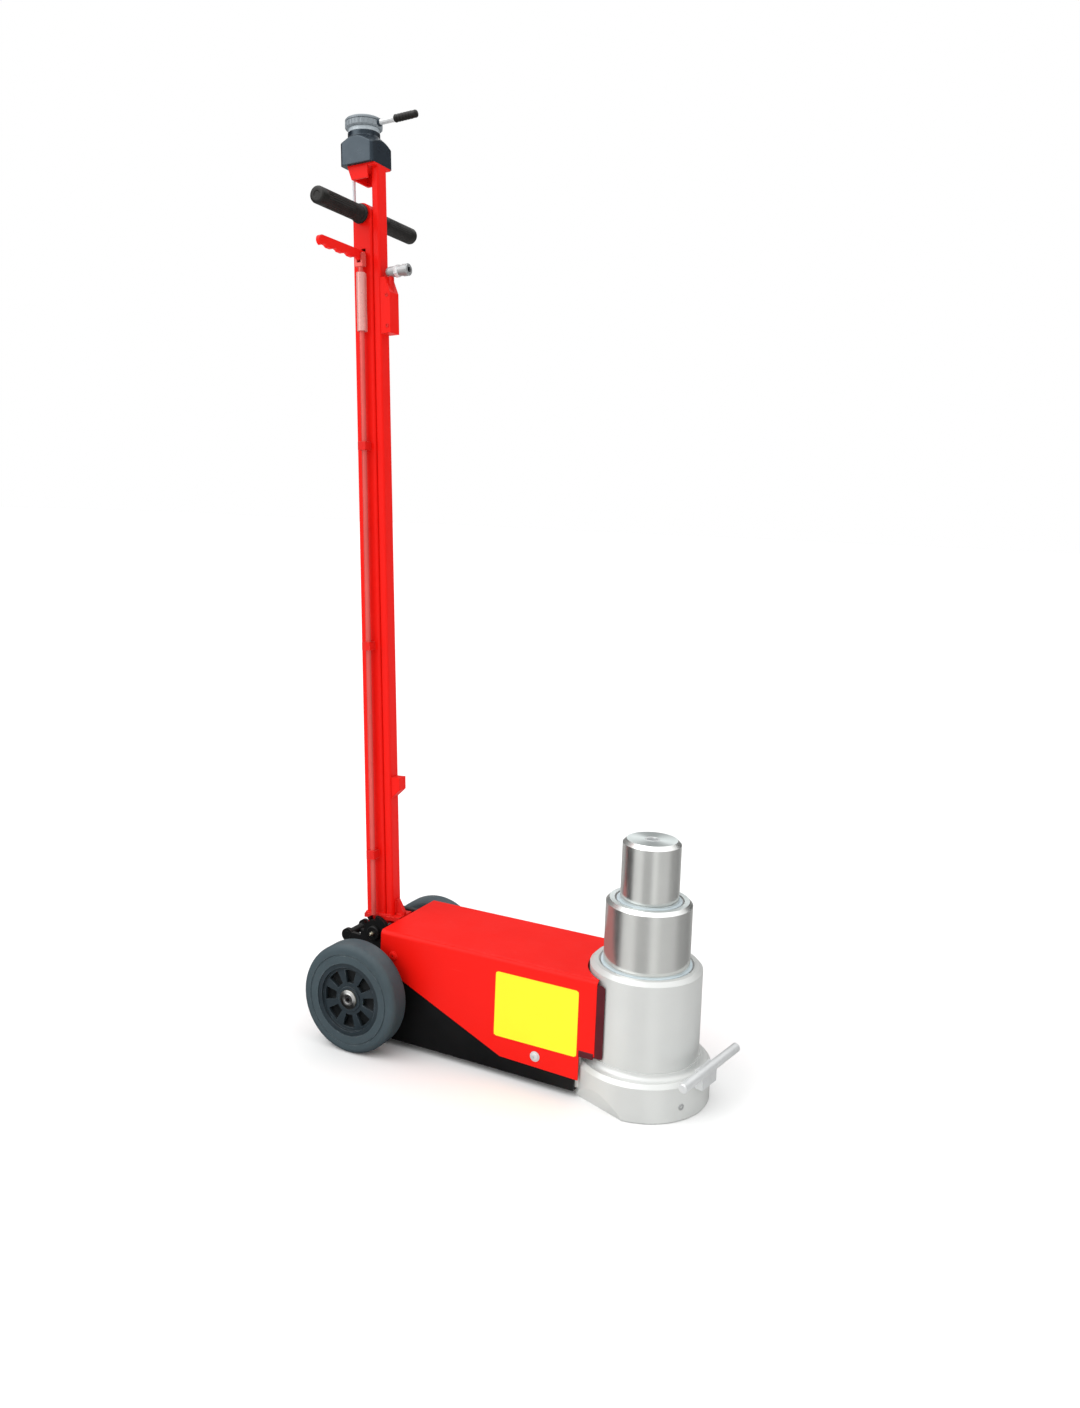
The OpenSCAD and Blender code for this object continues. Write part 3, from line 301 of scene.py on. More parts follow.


# a patchy edge mask: rubbed edges on bare metal, and a painted edge highlight on paints, plastics
# and rubbers
def buildEdgeWearAndHighlight():
    look = effectLooks["wearAndHighlight"]
    entries = [("Width", "Float", 0.0015), ("Amount", "Float", 0.5), ("Patch Scale", "Float", 90.0)]
    tree, given, made = newGroup("edgeWearAndHighlight", entries, [("Mask", "Float")])
    samples = effectLooks["bevelSamples"]
    rounded = put(tree, "Bevel", {"Radius": given["Width"]}, samples=samples).outputs[0]
    straight = put(tree, "NewGeometry").outputs["Normal"]
    feeds = {0: rounded, 1: straight}
    close = put(tree, "VectorMath", feeds, operation="DOT_PRODUCT").outputs["Value"]
    edge = spread(tree, calc(tree, "SUBTRACT", 1.0, close), *look["step"])
    place = put(tree, "TexCoord").outputs["Object"]
    patch = noise(tree, place, given["Patch Scale"], detail=6.0, rough=0.7)
    patch = spread(tree, patch, *look["patches"])
    mask = calc(tree, "MULTIPLY", calc(tree, "MULTIPLY", edge, patch), given["Amount"])
    tree.links.new(mask, made["Mask"])
    return tree


def buildDustFilm():
    look = effectLooks["dust"]
    tree, given, made = newGroup("dustFilm", [("Amount", "Float", 0.3)], [("Mask", "Float")])
    coords = put(tree, "TexCoord").outputs
    up = put(tree, "SeparateXYZ", {0: coords["Normal"]}).outputs[2]
    settle = calc(tree, "POWER", spread(tree, up, *look["rise"]), 2.0)
    drift = noise(tree, coords["Object"], look["scale"], detail=6.0, rough=0.65)
    drift = spread(tree, drift, *look["span"])
    mask = calc(tree, "MULTIPLY", calc(tree, "MULTIPLY", settle, drift), given["Amount"])
    tree.links.new(mask, made["Mask"])
    return tree


def buildScuffLines():
    look = effectLooks["scuff"]
    entries = [("Amount", "Float", 0.3), ("Stretch", "Vector", (30.0, 30.0, 420.0))]
    tree, given, made = newGroup("scuffLines", entries, [("Mask", "Float")])
    place = put(tree, "TexCoord").outputs["Object"]
    feeds = {0: place, 1: given["Stretch"]}
    long = put(tree, "VectorMath", feeds, operation="MULTIPLY").outputs[0]
    thin = noise(tree, long, 1.0, detail=4.0, rough=0.6, warp=look["warp"])
    thin = spread(tree, thin, *look["lines"])
    where = spread(tree, noise(tree, place, look["scale"]), *look["places"])
    mask = calc(tree, "MULTIPLY", calc(tree, "MULTIPLY", thin, where), given["Amount"])
    tree.links.new(mask, made["Mask"])
    return tree


grains = {
    "peel": buildPaintPeel(),
    "cast": buildCastSkin(),
    "mould": buildMouldGrain(),
    "turned": buildTurnedMarks(),
    "drawn": buildDrawnGrain(),
}
toneDrift, edgeWearAndHighlight = buildToneDrift(), buildEdgeWearAndHighlight()
dustFilm, scuffLines = buildDustFilm(), buildScuffLines()
print("shader groups ready")

# finishes: an entry for each of the record's slots that is shown as it is, and some for swaps
# and small extra pieces. rough: least and most. tone: size and strength of the colour's drift.
# edge: colour, amount, width; rubbed bright metal on the bare metals, a painted highlight on the
# paints, plastics and rubbers, darker on the yellow plate. scuff: colour, amount.
# faced: metal, and the painted darker bluish colour of flat up-facing faces. deep: floor, face and
# the light left at the floor. bump and round: metres

looks = {
    "cylinder_paint": {"colour": (0.67, 0.684, 0.67), "metal": 0.25, "rough": (0.30, 0.40),
                       "grain": "peel", "scale": 260, "bump": 0.00004, "tone": (9, 0.03),
                       "edge": ((0.86, 0.87, 0.86), 0.7, 0.0016), "dust": 0.04, "coat": 0.2,
                       "round": 0.0010},
    "red_paint": {"colour": (0.84, 0.008, 0.004), "rough": (0.30, 0.40), "grain": "peel",
                  "scale": 240, "bump": 0.00004, "tone": (6, 0.03), "shine": 0.14, "round": 0.0008,
                  "edge": ((0.95, 0.05, 0.04), 0.5, 0.0012), "dust": 0.012,
                  # the last entry is a painted reflection colour, for how this paint shows in the
                  # rams
                  "scuff": ((0.95, 0.10, 0.07), 0.10), "paintedReflectionTint": (0.36, 0.10, 0.09)},
    "dark_red_paint": {"colour": (0.70, 0.008, 0.005), "rough": (0.34, 0.46), "grain": "peel",
                       "scale": 240, "bump": 0.00005, "tone": (16, 0.06), "shine": 0.25,
                       "edge": ((0.95, 0.16, 0.13), 0.9, 0.0012), "dust": 0.02, "round": 0.0008},
    "black_paint": {"colour": (0.005, 0.005, 0.0055), "rough": (0.40, 0.54), "grain": "peel",
                    "scale": 300, "bump": 0.00006, "tone": (14, 0.25), "shine": 0.22,
                    "edge": ((0.09, 0.088, 0.085), 0.5, 0.0010), "dust": 0.04},
    "chromed_ram": {"colour": (0.80, 0.81, 0.795), "metal": 0.93, "rough": (0.17, 0.24),
                    "grain": "turned", "scale": 2600, "bump": 0.0000015, "tone": (20, 0.03),
                    "edge": ((0.92, 0.92, 0.92), 0.6, 0.0012), "dust": 0.02,
                    # flat up-facing faces: a duller turned finish, and a painted darker bluish
                    # colour
                    "faced": (0.66, (0.60, 0.645, 0.64)), "turning": 0.8},
    "turned_steel": {"colour": (0.66, 0.665, 0.66), "metal": 1.0, "rough": (0.26, 0.38),
                     "grain": "drawn", "scale": 900, "stretch": (1, 1, 0.05), "bump": 0.000012,
                     "tone": (30, 0.08), "edge": ((0.85, 0.85, 0.85), 0.5, 0.0008), "dust": 0.04},
    "dark_steel": {"colour": (0.13, 0.13, 0.135), "metal": 0.9, "rough": (0.38, 0.5),
                   "grain": "mould", "scale": 1400, "bump": 0.00001, "tone": (60, 0.2)},
    "zinc_steel": {"colour": (0.56, 0.52, 0.42), "metal": 1.0, "rough": (0.30, 0.44),
                   "grain": "mould", "scale": 1300, "bump": 0.000012, "tone": (110, 0.16),
                   "edge": ((0.80, 0.80, 0.78), 0.5, 0.0006)},
    "cast_aluminium": {"colour": (0.56, 0.57, 0.575), "metal": 0.9, "rough": (0.44, 0.6),
                       "grain": "cast", "scale": 520, "bump": 0.00014, "tone": (22, 0.08),
                       "edge": ((0.8, 0.8, 0.8), 0.6, 0.0012), "dust": 0.12},
    "cast_iron": {"colour": (0.085, 0.085, 0.088), "metal": 0.5, "rough": (0.52, 0.7),
                  "grain": "cast", "scale": 460, "bump": 0.00018, "tone": (24, 0.14),
                  "edge": ((0.34, 0.33, 0.32), 0.5, 0.0012), "dust": 0.15},
    "brass": {"colour": (0.74, 0.53, 0.22), "metal": 1.0, "rough": (0.26, 0.42), "grain": "mould",
              "scale": 1500, "bump": 0.00001, "tone": (70, 0.12),
              "edge": ((0.9, 0.72, 0.4), 0.5, 0.0006)},
    "air_line": {"colour": (0.66, 0.71, 0.74), "rough": (0.28, 0.38), "grain": "mould",
                 "scale": 900, "bump": 0.00001, "tone": (90, 0.05)},
    "tyre_rubber": {"colour": (0.045, 0.068, 0.080), "rough": (0.50, 0.68), "grain": "mould",
                    "scale": 900, "bump": 0.00005, "tone": (16, 0.12), "shine": 0.4,
                    "edge": ((0.17, 0.20, 0.215), 0.45, 0.0022), "dust": 0.12},
    "seal_rubber": {"colour": (0.56, 0.65, 0.69), "rough": (0.42, 0.55), "grain": "mould",
                    "scale": 1200, "bump": 0.00001, "tone": (50, 0.1)},
    "hose_rubber": {"colour": (0.010, 0.010, 0.011), "rough": (0.45, 0.6), "grain": "mould",
                    "scale": 1100, "bump": 0.00004, "tone": (60, 0.2), "dust": 0.10},
    "grip_rubber": {"colour": (0.009, 0.008, 0.007), "rough": (0.40, 0.54), "grain": "mould",
                    "scale": 1200, "bump": 0.00003, "tone": (28, 0.2), "dust": 0.05, "shine": 0.4,
                    "edge": ((0.08, 0.08, 0.08), 0.5, 0.0012)},
    "head_plastic": {"colour": (0.005, 0.010, 0.018), "rough": (0.24, 0.34), "grain": "mould",
                     "scale": 1000, "bump": 0.000012, "tone": (26, 0.12), "dust": 0.02,
                     # its reflections carry a painted blue tint
                     "shine": 0.9, "paintedGlossTint": (0.72, 0.88, 1.0), "round": 0.0022,
                     # its lighter edges are a painted highlight along the corners
                     "edge": ((0.15, 0.185, 0.22), 1.0, 0.0014)},
    "knob_plastic": {"colour": (0.25, 0.285, 0.31), "metal": 0.2, "rough": (0.34, 0.46),
                     "grain": "mould", "scale": 1200, "bump": 0.000008, "tone": (30, 0.05),
                     "edge": ((0.48, 0.51, 0.53), 0.5, 0.0008), "dust": 0.02},
    "hub_plastic": {"colour": (0.018, 0.029, 0.037), "rough": (0.36, 0.5), "grain": "mould",
                    "scale": 900, "bump": 0.00004, "tone": (24, 0.16), "dust": 0.08,
                    "edge": ((0.12, 0.15, 0.17), 0.9, 0.0014), "round": 0.0008,
                    "deep": (0.1112, 0.1155, 0.15)},
    "bare_yellow": {"colour": (0.85, 0.83, 0.025), "rough": (0.34, 0.46), "grain": "peel",
                    "scale": 90, "bump": 0.00005, "tone": (14, 0.02), "shine": 0.2,
                    "edge": ((0.60, 0.56, 0.10), 0.4, 0.0008)},
    "weld_red": {"colour": (0.72, 0.010, 0.006), "rough": (0.34, 0.5), "grain": "cast",
                 "scale": 900, "bump": 0.00005, "tone": (60, 0.08), "shine": 0.2,
                 "edge": ((0.90, 0.10, 0.08), 0.3, 0.0006)},
    "satin_zinc": {"colour": (0.70, 0.715, 0.72), "metal": 0.35, "rough": (0.30, 0.44),
                   "grain": "drawn", "scale": 700, "stretch": (1, 1, 0.1), "bump": 0.00001,
                   "tone": (40, 0.06), "edge": ((0.90, 0.90, 0.90), 0.6, 0.0008), "dust": 0.03},
    # painted light: a paler copy of the knob's grey, so the neck ring stays light in the shade
    # under the knob
    "ring_painted_light": {"colour": (0.50, 0.56, 0.60), "metal": 0.1, "rough": (0.34, 0.46),
                  "grain": "mould", "scale": 1200, "bump": 0.000008, "tone": (30, 0.05)},
    "rod_enamel": {"colour": (0.80, 0.11, 0.095), "metal": 0.3, "rough": (0.22, 0.32),
                   "grain": "drawn", "scale": 700, "stretch": (1, 1, 0.05), "bump": 0.00001,
                   "tone": (12, 0.10), "edge": ((0.86, 0.42, 0.38), 0.4, 0.0006)},
    # the pale pink is red enamel with its highlight painted in
    "sleeve_enamel_and_highlight": {"colour": (0.86, 0.40, 0.37), "metal": 0.3, "rough": (0.24, 0.34),
                      "grain": "peel", "scale": 500, "bump": 0.00001, "tone": (24, 0.06),
                      "edge": ((0.92, 0.60, 0.56), 0.5, 0.0006)},
    # painted shade: near-black maroon for the shaded gaps at the housing's front and step
    "lip_maroon": {"colour": (0.085, 0.003, 0.009), "rough": (0.40, 0.55), "grain": "peel",
                   "scale": 300, "bump": 0.00004, "tone": (30, 0.15), "shine": 0.3,
                   "edge": ((0.30, 0.02, 0.03), 0.4, 0.0006)},
}


def makeFinish(name, look):
    finish = bpy.data.materials.new(name)
    finish.use_nodes = True
    tree = finish.node_tree
    shader = tree.nodes["Principled BSDF"]
    grain = {"Scale": look["scale"], "Stretch": look.get("stretch", (1, 1, 1))}
    grain = put(tree, "Group", grain, node_tree=grains[look["grain"]]).outputs
    size, strength = look["tone"]
    drift = {"Colour": (*look["colour"], 1), "Scale": size, "Strength": strength}
    tint = put(tree, "Group", drift, node_tree=toneDrift).outputs["Colour"]
    rough = spread(tree, grain["Tone"], 0, 1, *look["rough"])
    if "scuff" in look:
        colour, amount = look["scuff"]
        mask = put(tree, "Group", {"Amount": amount}, node_tree=scuffLines).outputs["Mask"]
        tint = mixTint(tree, mask, tint, (*colour, 1))
    # edge colour: rubbed metal on bare metals, a painted highlight on paints, plastics and rubbers
    if "edge" in look:
        colour, amount, width = look["edge"]
        feeds = {"Width": width, "Amount": amount}
        mask = put(tree, "Group", feeds, node_tree=edgeWearAndHighlight).outputs["Mask"]
        tint = mixTint(tree, mask, tint, (*colour, 1))
    if "dust" in look:
        mask = put(tree, "Group", {"Amount": look["dust"]}, node_tree=dustFilm).outputs["Mask"]
        tint = mixTint(tree, mask, tint, effectLooks["dust"]["tint"])
        dulled = calc(tree, "MULTIPLY", mask, effectLooks["dust"]["dulls"])
        rough = calc(tree, "ADD", rough, dulled)
    if "deep" in look:                              # the wheel's pockets lie in shadow
        floor, face, share = look["deep"]
        side = put(tree, "SeparateXYZ", {0: put(tree, "TexCoord").outputs["Object"]}).outputs[1]
        shade = spread(tree, calc(tree, "ABSOLUTE", side), floor, face, share, 1.0)
        tint = mixTint(tree, 1.0, tint, shade, "MULTIPLY")
    shader.inputs["Metallic"].default_value = look.get("metal", 0.0)
    if "faced" in look:                             # flat turned faces are duller than the sides; their darker bluish colour is a painted tone for how the top catches the light
        share, paintedTopTint = look["faced"]
        up = put(tree, "SeparateXYZ", {0: put(tree, "TexCoord").outputs["Normal"]}).outputs[2]
        flat = spread(tree, up, *effectLooks["faced"]["rise"])
        dulled = calc(tree, "MULTIPLY", flat, effectLooks["faced"]["dulls"])
        rough = calc(tree, "ADD", rough, dulled)
        metal = spread(tree, flat, 0, 1, look["metal"], share)
        tree.links.new(metal, shader.inputs["Metallic"])
        tint = mixTint(tree, flat, tint, (*paintedTopTint, 1))
    if "paintedReflectionTint" in look:                          # painted reflection: in polished faces its image is painted darker and greyer
        polished = put(tree, "LightPath").outputs["Is Glossy Ray"]
        tint = mixTint(tree, polished, tint, (*look["paintedReflectionTint"], 1))
    tree.links.new(tint, shader.inputs["Base Color"])
    tree.links.new(rough, shader.inputs["Roughness"])
    shader.inputs["Coat Weight"].default_value = look.get("coat", 0.0)
    shader.inputs["Coat Roughness"].default_value = effectLooks["coatRough"]
    shader.inputs["Specular IOR Level"].default_value = look.get("shine", 0.5)
    # a painted tint on the reflections: blue on the head's plastic, untinted elsewhere
    shader.inputs["Specular Tint"].default_value = (*look.get("paintedGlossTint", (1, 1, 1)), 1)
    if "turning" in look:                           # the rings of turning smear what is mirrored
        shader.inputs["Anisotropic"].default_value = look["turning"]
        around = put(tree, "Tangent", direction_type="RADIAL", axis="Z")
        tree.links.new(around.outputs[0], shader.inputs["Tangent"])
    feeds = {"Height": grain["Height"], "Strength": 1.0, "Distance": look["bump"]}
    if "round" in look:                             # no pressed or painted edge is knife sharp
        rounding = {"Radius": look["round"]}
        bevel = put(tree, "Bevel", rounding, samples=effectLooks["bevelSamples"])
        feeds["Normal"] = bevel.outputs[0]
    tree.links.new(put(tree, "Bump", feeds).outputs[0], shader.inputs["Normal"])
    return finish


finishes = {name: makeFinish(name, look) for name, look in looks.items()}
swaps = {           # nodes whose finish isn't their slot's
    "axle": "dark_steel", "carry_bar": "satin_zinc", "pivot_pin": "black_paint",
    "neck_ring": "ring_painted_light", "control_arm": "satin_zinc", "inlet_elbow": "cast_aluminium",
    "lock_rod": "rod_enamel", "spring_housing": "sleeve_enamel_and_highlight", "lever_pin": "dark_steel",
}
for row in frame["record"]["subparts"]:
    node = row["node"]
    for materialSlot in frame["nodes"][node].material_slots:
        materialSlot.material = finishes[swaps.get(node, row["material_slot"])]
print("finishes ready:", len(finishes))

# the floor

floorLook = {"colour": (0.95, 0.95, 0.948), "half": 60.0, "rough": 0.6}


def buildFloor():
    mesh = bpy.data.meshes.new("paleFloor")
    half = floorLook["half"]
    corners = [(-half, -half, 0), (half, -half, 0), (half, half, 0), (-half, half, 0)]
    mesh.from_pydata(corners, [], [(0, 1, 2, 3)])
    floor = bpy.data.objects.new("paleFloor", mesh)
    scene.collection.objects.link(floor)
    paper = bpy.data.materials.new("paleFloor")
    paper.use_nodes = True
    tree = paper.node_tree
    shader = tree.nodes["Principled BSDF"]
    place = put(tree, "SeparateXYZ", {0: put(tree, "NewGeometry").outputs["Position"]}).outputs
    seen = addBands(tree, place[0], place[1], studio["floor"])      # only in polished faces
    polished = put(tree, "LightPath").outputs["Is Glossy Ray"]
    tint = mixTint(tree, polished, (*floorLook["colour"], 1), seen)
    tree.links.new(tint, shader.inputs["Base Color"])
    shader.inputs["Specular IOR Level"].default_value = 0.0
    shader.inputs["Roughness"].default_value = floorLook["rough"]
    mesh.materials.append(paper)


buildFloor()

# tools that make a piece

slotNames = {row["slot"] for row in frame["record"]["materials"]}
nearSlots = {       # the record's slot that stands for each extra finish
    "dark_steel": "turned_steel", "satin_zinc": "zinc_steel", "bare_yellow": "red_paint",
    "weld_red": "red_paint", "lip_maroon": "dark_red_paint",
}


def finishPiece(name, shape, slot, body, sharp=32):
    mesh = bpy.data.meshes.new(name)
    bmesh.ops.recalc_face_normals(shape, faces=shape.faces)
    shape.to_mesh(mesh)
    shape.free()
    mesh.polygons.foreach_set("use_smooth", [True] * len(mesh.polygons))
    mesh.set_sharp_from_angle(angle=radians(sharp))
    mesh.materials.append(finishes[slot])
    piece = bpy.data.objects.new(name, mesh)
    scene.collection.objects.link(piece)
    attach(piece, body)
    slot if slot in slotNames else nearSlots[slot]
    return piece


def joinLoops(shape, loops, closed=False):
    # quads between neighbouring loops, with a cap at each end unless the last meets the first
    count = len(loops[0])
    pairs = list(zip(loops, loops[1:] + loops[:1]))
    for low, high in pairs if closed else pairs[:-1]:
        for k in range(count):
            after = (k + 1) % count
            shape.faces.new((low[k], low[after], high[after], high[k]))
    if not closed:
        shape.faces.new(list(reversed(loops[0])))
        shape.faces.new(loops[-1])


def ringStack(name, rings, places, slot, body, steps=48, sharp=32, closed=False):
    # rings of (height, radius) about each place's Z; a radius may depend on the angle
    shape = bmesh.new()
    angles = [2 * pi * k / steps for k in range(steps)]
    for place in places:
        loops = []
        for height, radius in rings:
            reaches = [radius(angle) if callable(radius) else radius for angle in angles]
            points = [Vector((reach * cos(angle), reach * sin(angle), height))
                      for angle, reach in zip(angles, reaches)]
            loops.append([shape.verts.new(place @ point) for point in points])
        joinLoops(shape, loops, closed)
    return finishPiece(name, shape, slot, body, sharp)


def facing(point, direction):
    turn = Vector(direction).to_track_quat("Z", "Y").to_matrix()
    return Matrix.Translation(point) @ turn.to_4x4()


def hexagon(across):
    return lambda angle: across / 2 / cos((angle + pi / 6) % (pi / 3) - pi / 6)


def cross(reach, half):
    def radius(angle):
        c, s = max(abs(cos(angle)), 1e-6), max(abs(sin(angle)), 1e-6)
        return max(min(reach / c, half / s), min(half / c, reach / s))
    return radius


def fluted(radius, depth, count, sharpness=2):
    return lambda angle: radius - depth * abs(sin(angle * count / 2)) ** sharpness


def roundedBox(halfWide, halfHigh, corner):
    def radius(angle):
        c, s = abs(cos(angle)), abs(sin(angle))
        inX, inY = halfWide - corner, halfHigh - corner
        if s * halfWide <= c * inY:
            return halfWide / c
        if c * halfHigh <= s * inX:
            return halfHigh / s
        along = inX * c + inY * s                   # the ray meets the corner's arc
        return along + (along * along - inX * inX - inY * inY + corner * corner) ** 0.5
    return radius


beadLook = {"stepsPerRipple": 4, "ripple": 0.14, "tip": 0.25, "tipSteps": 4, "around": 10}


def beadRun(name, paths, radius, pitch, slot, body):
    # a weld bead with its ripples along each path
    look = beadLook
    shape = bmesh.new()
    angles = [2 * pi * k / look["around"] for k in range(look["around"])]
    circle = [Vector((cos(angle), sin(angle), 0)) for angle in angles]
    for path in paths:
        points, total = [], 0.0
        for start, end in zip(path, path[1:]):
            count = max(2, int((end - start).length / (pitch / look["stepsPerRipple"])))
            points += [start.lerp(end, k / count) for k in range(count)]
        points.append(path[-1])
        last, loops = len(points) - 1, []
        for k, point in enumerate(points):
            ahead = points[min(k + 1, last)] - points[max(k - 1, 0)]
            place = facing(point, ahead)
            total += (point - points[k - 1]).length if k else 0
            ends = min(1.0, look["tip"] + min(k, last - k) / look["tipSteps"])
            swell = abs(sin(pi * total / pitch))
            reach = radius * ends * (1 - look["ripple"] + look["ripple"] * swell)
            loops.append([shape.verts.new(place @ (spot * reach)) for spot in circle])
        joinLoops(shape, loops)
    return finishPiece(name, shape, slot, body, 60)


def mirroredBars(name, sections, slot):
    # a bar on both sides of the housing, through cross-sections of (x, y, z) corners
    shape = bmesh.new()
    for side in (-1, 1):
        joinLoops(shape, [[shape.verts.new((x, side * y, z)) for x, y, z in section]
                          for section in sections])
    finishPiece(name, shape, slot, "chassis")


# the housing's small things

plateLook = {"rear": -0.183, "front": -0.063, "low": 0.056, "high": 0.143, "side": -0.072,
             "corner": 0.003, "thick": 0.0005,
             "profile": ((0.8, 0.0), (1.0, 0.0003), (1.0, 0.002), (0.9, 0.006), (0.95, 0.020))}


def buildSidePlate():
    look = plateLook
    rear, front, low, high = look["rear"], look["front"], look["low"], look["high"]
    halfLong, halfHigh = (front - rear) / 2, (high - low) / 2
    middle = ((front + rear) / 2, look["side"], (high + low) / 2)
    place = Matrix.Translation(middle) @ Matrix.Rotation(pi / 2, 4, "X")
    rings = [(0, roundedBox(halfLong, halfHigh, look["corner"]))]
    for share, inset in look["profile"]:
        outline = roundedBox(halfLong - inset, halfHigh - inset, look["corner"])
        rings.append((look["thick"] * share, outline))
    ringStack("sidePlate", rings, [place], "bare_yellow", "chassis", steps=144, sharp=50)


buildSidePlate()

screwLook = {"out": 0.072, "deep": 0.0062, "shank": 0.003, "head": 0.0055, "high": 0.0026,
             "washer": 0.0068, "washerHigh": 0.0006,
             "recess": (0.0024, 0.0007), "recessFloor": (0.0021, 0.0006),
             "sets": (("coverScrewSet", "satin_zinc", -0.1215, 0.042),
                      ("coverRearScrews", "red_paint", -0.345, 0.128))}


def buildCoverScrews():
    look = screwLook
    r, h, shank, washer = look["head"], look["high"], look["shank"], look["washer"]
    rings = [(-look["deep"], shank), (0, shank), (0, washer), (look["washerHigh"], washer),
             (look["washerHigh"] + 0.0001, r), (h * 0.45, r), (h * 0.72, r * 0.93),
             (h * 0.92, r * 0.72), (h, r * 0.5), (h, cross(*look["recess"])),
             (h * 0.42, cross(*look["recessFloor"]))]
    for name, slot, x, z in look["sets"]:
        places = [facing((x, side * look["out"], z), (0, side, 0)) for side in (-1, 1)]
        piece = ringStack(name, rings, places, slot, "chassis")
        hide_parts("cover_screws")


buildCoverScrews()

lipLook = {"rear": -0.0405, "front": -0.0280, "side": 0.0716, "inward": 0.0012, "thick": 0.0009,
           "low": 0.0605, "high": 0.1560, "round": 0.0012, "lowSlope": 0.0008,
           "highSlope": 0.0030, "highCut": 0.0040}


def buildCoverLips():
    # the turned-in edge between the housing's side and the cylinder, painted near-black maroon as
    # the shade in that gap
    look = lipLook
    rear, front, low, high = look["rear"], look["front"], look["low"], look["high"]
    outer, thick, edge = look["side"], look["thick"], look["front"] - look["round"]
    inner = outer - look["inward"]
    outline = [(rear, outer), (edge, inner), (front, inner - thick * 0.3),
               (front, inner - thick * 0.7), (edge, inner - thick), (rear, outer - thick)]
    levels = ((low, look["round"]), (low + look["lowSlope"], 0), (high - look["highSlope"], 0),
              (high, look["highCut"]))
    sections = [[(x - (cut if x > rear else 0), y, z) for x, y in outline] for z, cut in levels]
    mirroredBars("coverFrontLips", sections, "lip_maroon")


buildCoverLips()

trimLook = {"rear": -0.0600, "front": -0.0401, "inner": 0.0710, "hook": 0.0719, "outer": 0.0727,
            "low": 0.0580, "seat": 0.0600, "high": 0.0660, "soft": 0.0004, "ease": 0.0006}


def buildStepTrims():
    # a channel on the step's lower edge, painted near-black maroon as the shade between the housing
    # and the base
    look = trimLook
    rear, front, low, high = look["rear"], look["front"], look["low"], look["high"]
    inner, hook, outer, soft = look["inner"], look["hook"], look["outer"], look["soft"]
    outline = [(inner, look["seat"]), (inner, low), (outer - soft, low), (outer, low + soft),
               (outer, high - look["ease"]), (outer - soft, high), (hook, high),
               (hook, look["seat"])]
    runs = (rear, rear + look["ease"], front - look["ease"], front)
    sections = [[(x, y, z) for y, z in outline] for x in runs]
    mirroredBars("coverStepShadeTrims", sections, "lip_maroon")


buildStepTrims()

grommetLook = {"spot": (-0.365, 0.034, 0.152), "bore": 0.0046, "neck": 0.0054, "flange": 0.0076}


def buildGrommet():
    look = grommetLook
    bore, neck, flange = look["bore"], look["neck"], look["flange"]
    half = [(0.0011, neck), (0.0012, flange), (0.0024, flange), (0.0032, neck + 0.0008),
            (0.0030, bore)]
    rings = [(-height, radius) for height, radius in reversed(half)] + half
    place = facing(look["spot"], (1, 0, 0))
    ringStack("hoseGrommet", rings, [place], "hose_rubber", "chassis", steps=36, closed=True)


buildGrommet()

hoseEndLook = {"spots": ((-0.410, 0.034, 0.1385), (-0.306, 0.034, 0.1135)), "across": 0.0126,
               "ferrule": 0.0060, "length": 0.0085}


def buildHoseEnds():
    look = hoseEndLook
    nut, rim = hexagon(look["across"]), look["across"] / 2
    crimp, length = look["ferrule"], look["length"]
    rings = [(0, rim), (0.0004, nut), (0.0032, nut), (0.0036, rim), (0.0037, crimp),
             (0.0050, crimp), (0.0053, crimp * 0.92), (0.0058, crimp * 0.92), (0.0061, crimp),
             (length - 0.0008, crimp), (length, crimp * 0.86)]
    places = [Matrix.Translation(spot) for spot in look["spots"]]
    ringStack("hoseEndFerrules", rings, places, "zinc_steel", "chassis", steps=36)


buildHoseEnds()

motorRodLook = {"x": (-0.3000, -0.2240), "rear": -0.312, "middle": 0.066, "reach": 0.0385,
                "rod": 0.003, "thread": 0.0027, "threadLong": 0.002, "nut": 0.0082,
                "nutHigh": 0.0042}


def buildMotorRods():
    look = motorRodLook
    corners = [(a * look["reach"], look["middle"] + b * look["reach"])
               for a in (-1, 1) for b in (-1, 1)]
    rod, thread, end = look["rod"], look["thread"], look["threadLong"]
    first, last = look["x"]
    long = last - first
    rings = [(0, rod), (end, rod), (end + 0.0002, thread), (long - end - 0.0002, thread),
             (long - end, rod), (long, rod)]
    places = [facing((first, y, z), (1, 0, 0)) for y, z in corners]
    ringStack("motorTieRods", rings, places, "turned_steel", "chassis", steps=20)
    nut, high = hexagon(look["nut"]), look["nutHigh"]
    rings = [(0, nut), (high * 0.85, nut), (high, look["nut"] / 2), (high, rod),
             (high + 0.0016, thread)]
    places = [facing((look["rear"], y, z), (-1, 0, 0)) for y, z in corners]
    ringStack("motorTieNuts", rings, places, "zinc_steel", "chassis", steps=36)


buildMotorRods()

basePlugLook = {"reach": 0.0892, "turns": (-35.4, 92.0), "up": 0.0186, "radius": 0.0034,
                "proud": 0.0012}


def buildBasePlugs():
    look = basePlugLook
    r, h = look["radius"], look["proud"]
    rings = [(-0.001, r * 1.25), (0.0004, r * 1.25), (0.0007, r * 1.12), (0.0007, r),
             (h * 0.8, r), (h, r * 0.92), (h, hexagon(r)), (h * 0.2, hexagon(r * 0.95))]
    places = []
    for turn in look["turns"]:
        out = Vector((cos(radians(turn)), sin(radians(turn)), 0))
        places.append(facing(out * look["reach"] + Vector((0, 0, look["up"])), out))
    ringStack("basePlugs", rings, places, "cast_aluminium", "chassis", steps=36)


buildBasePlugs()

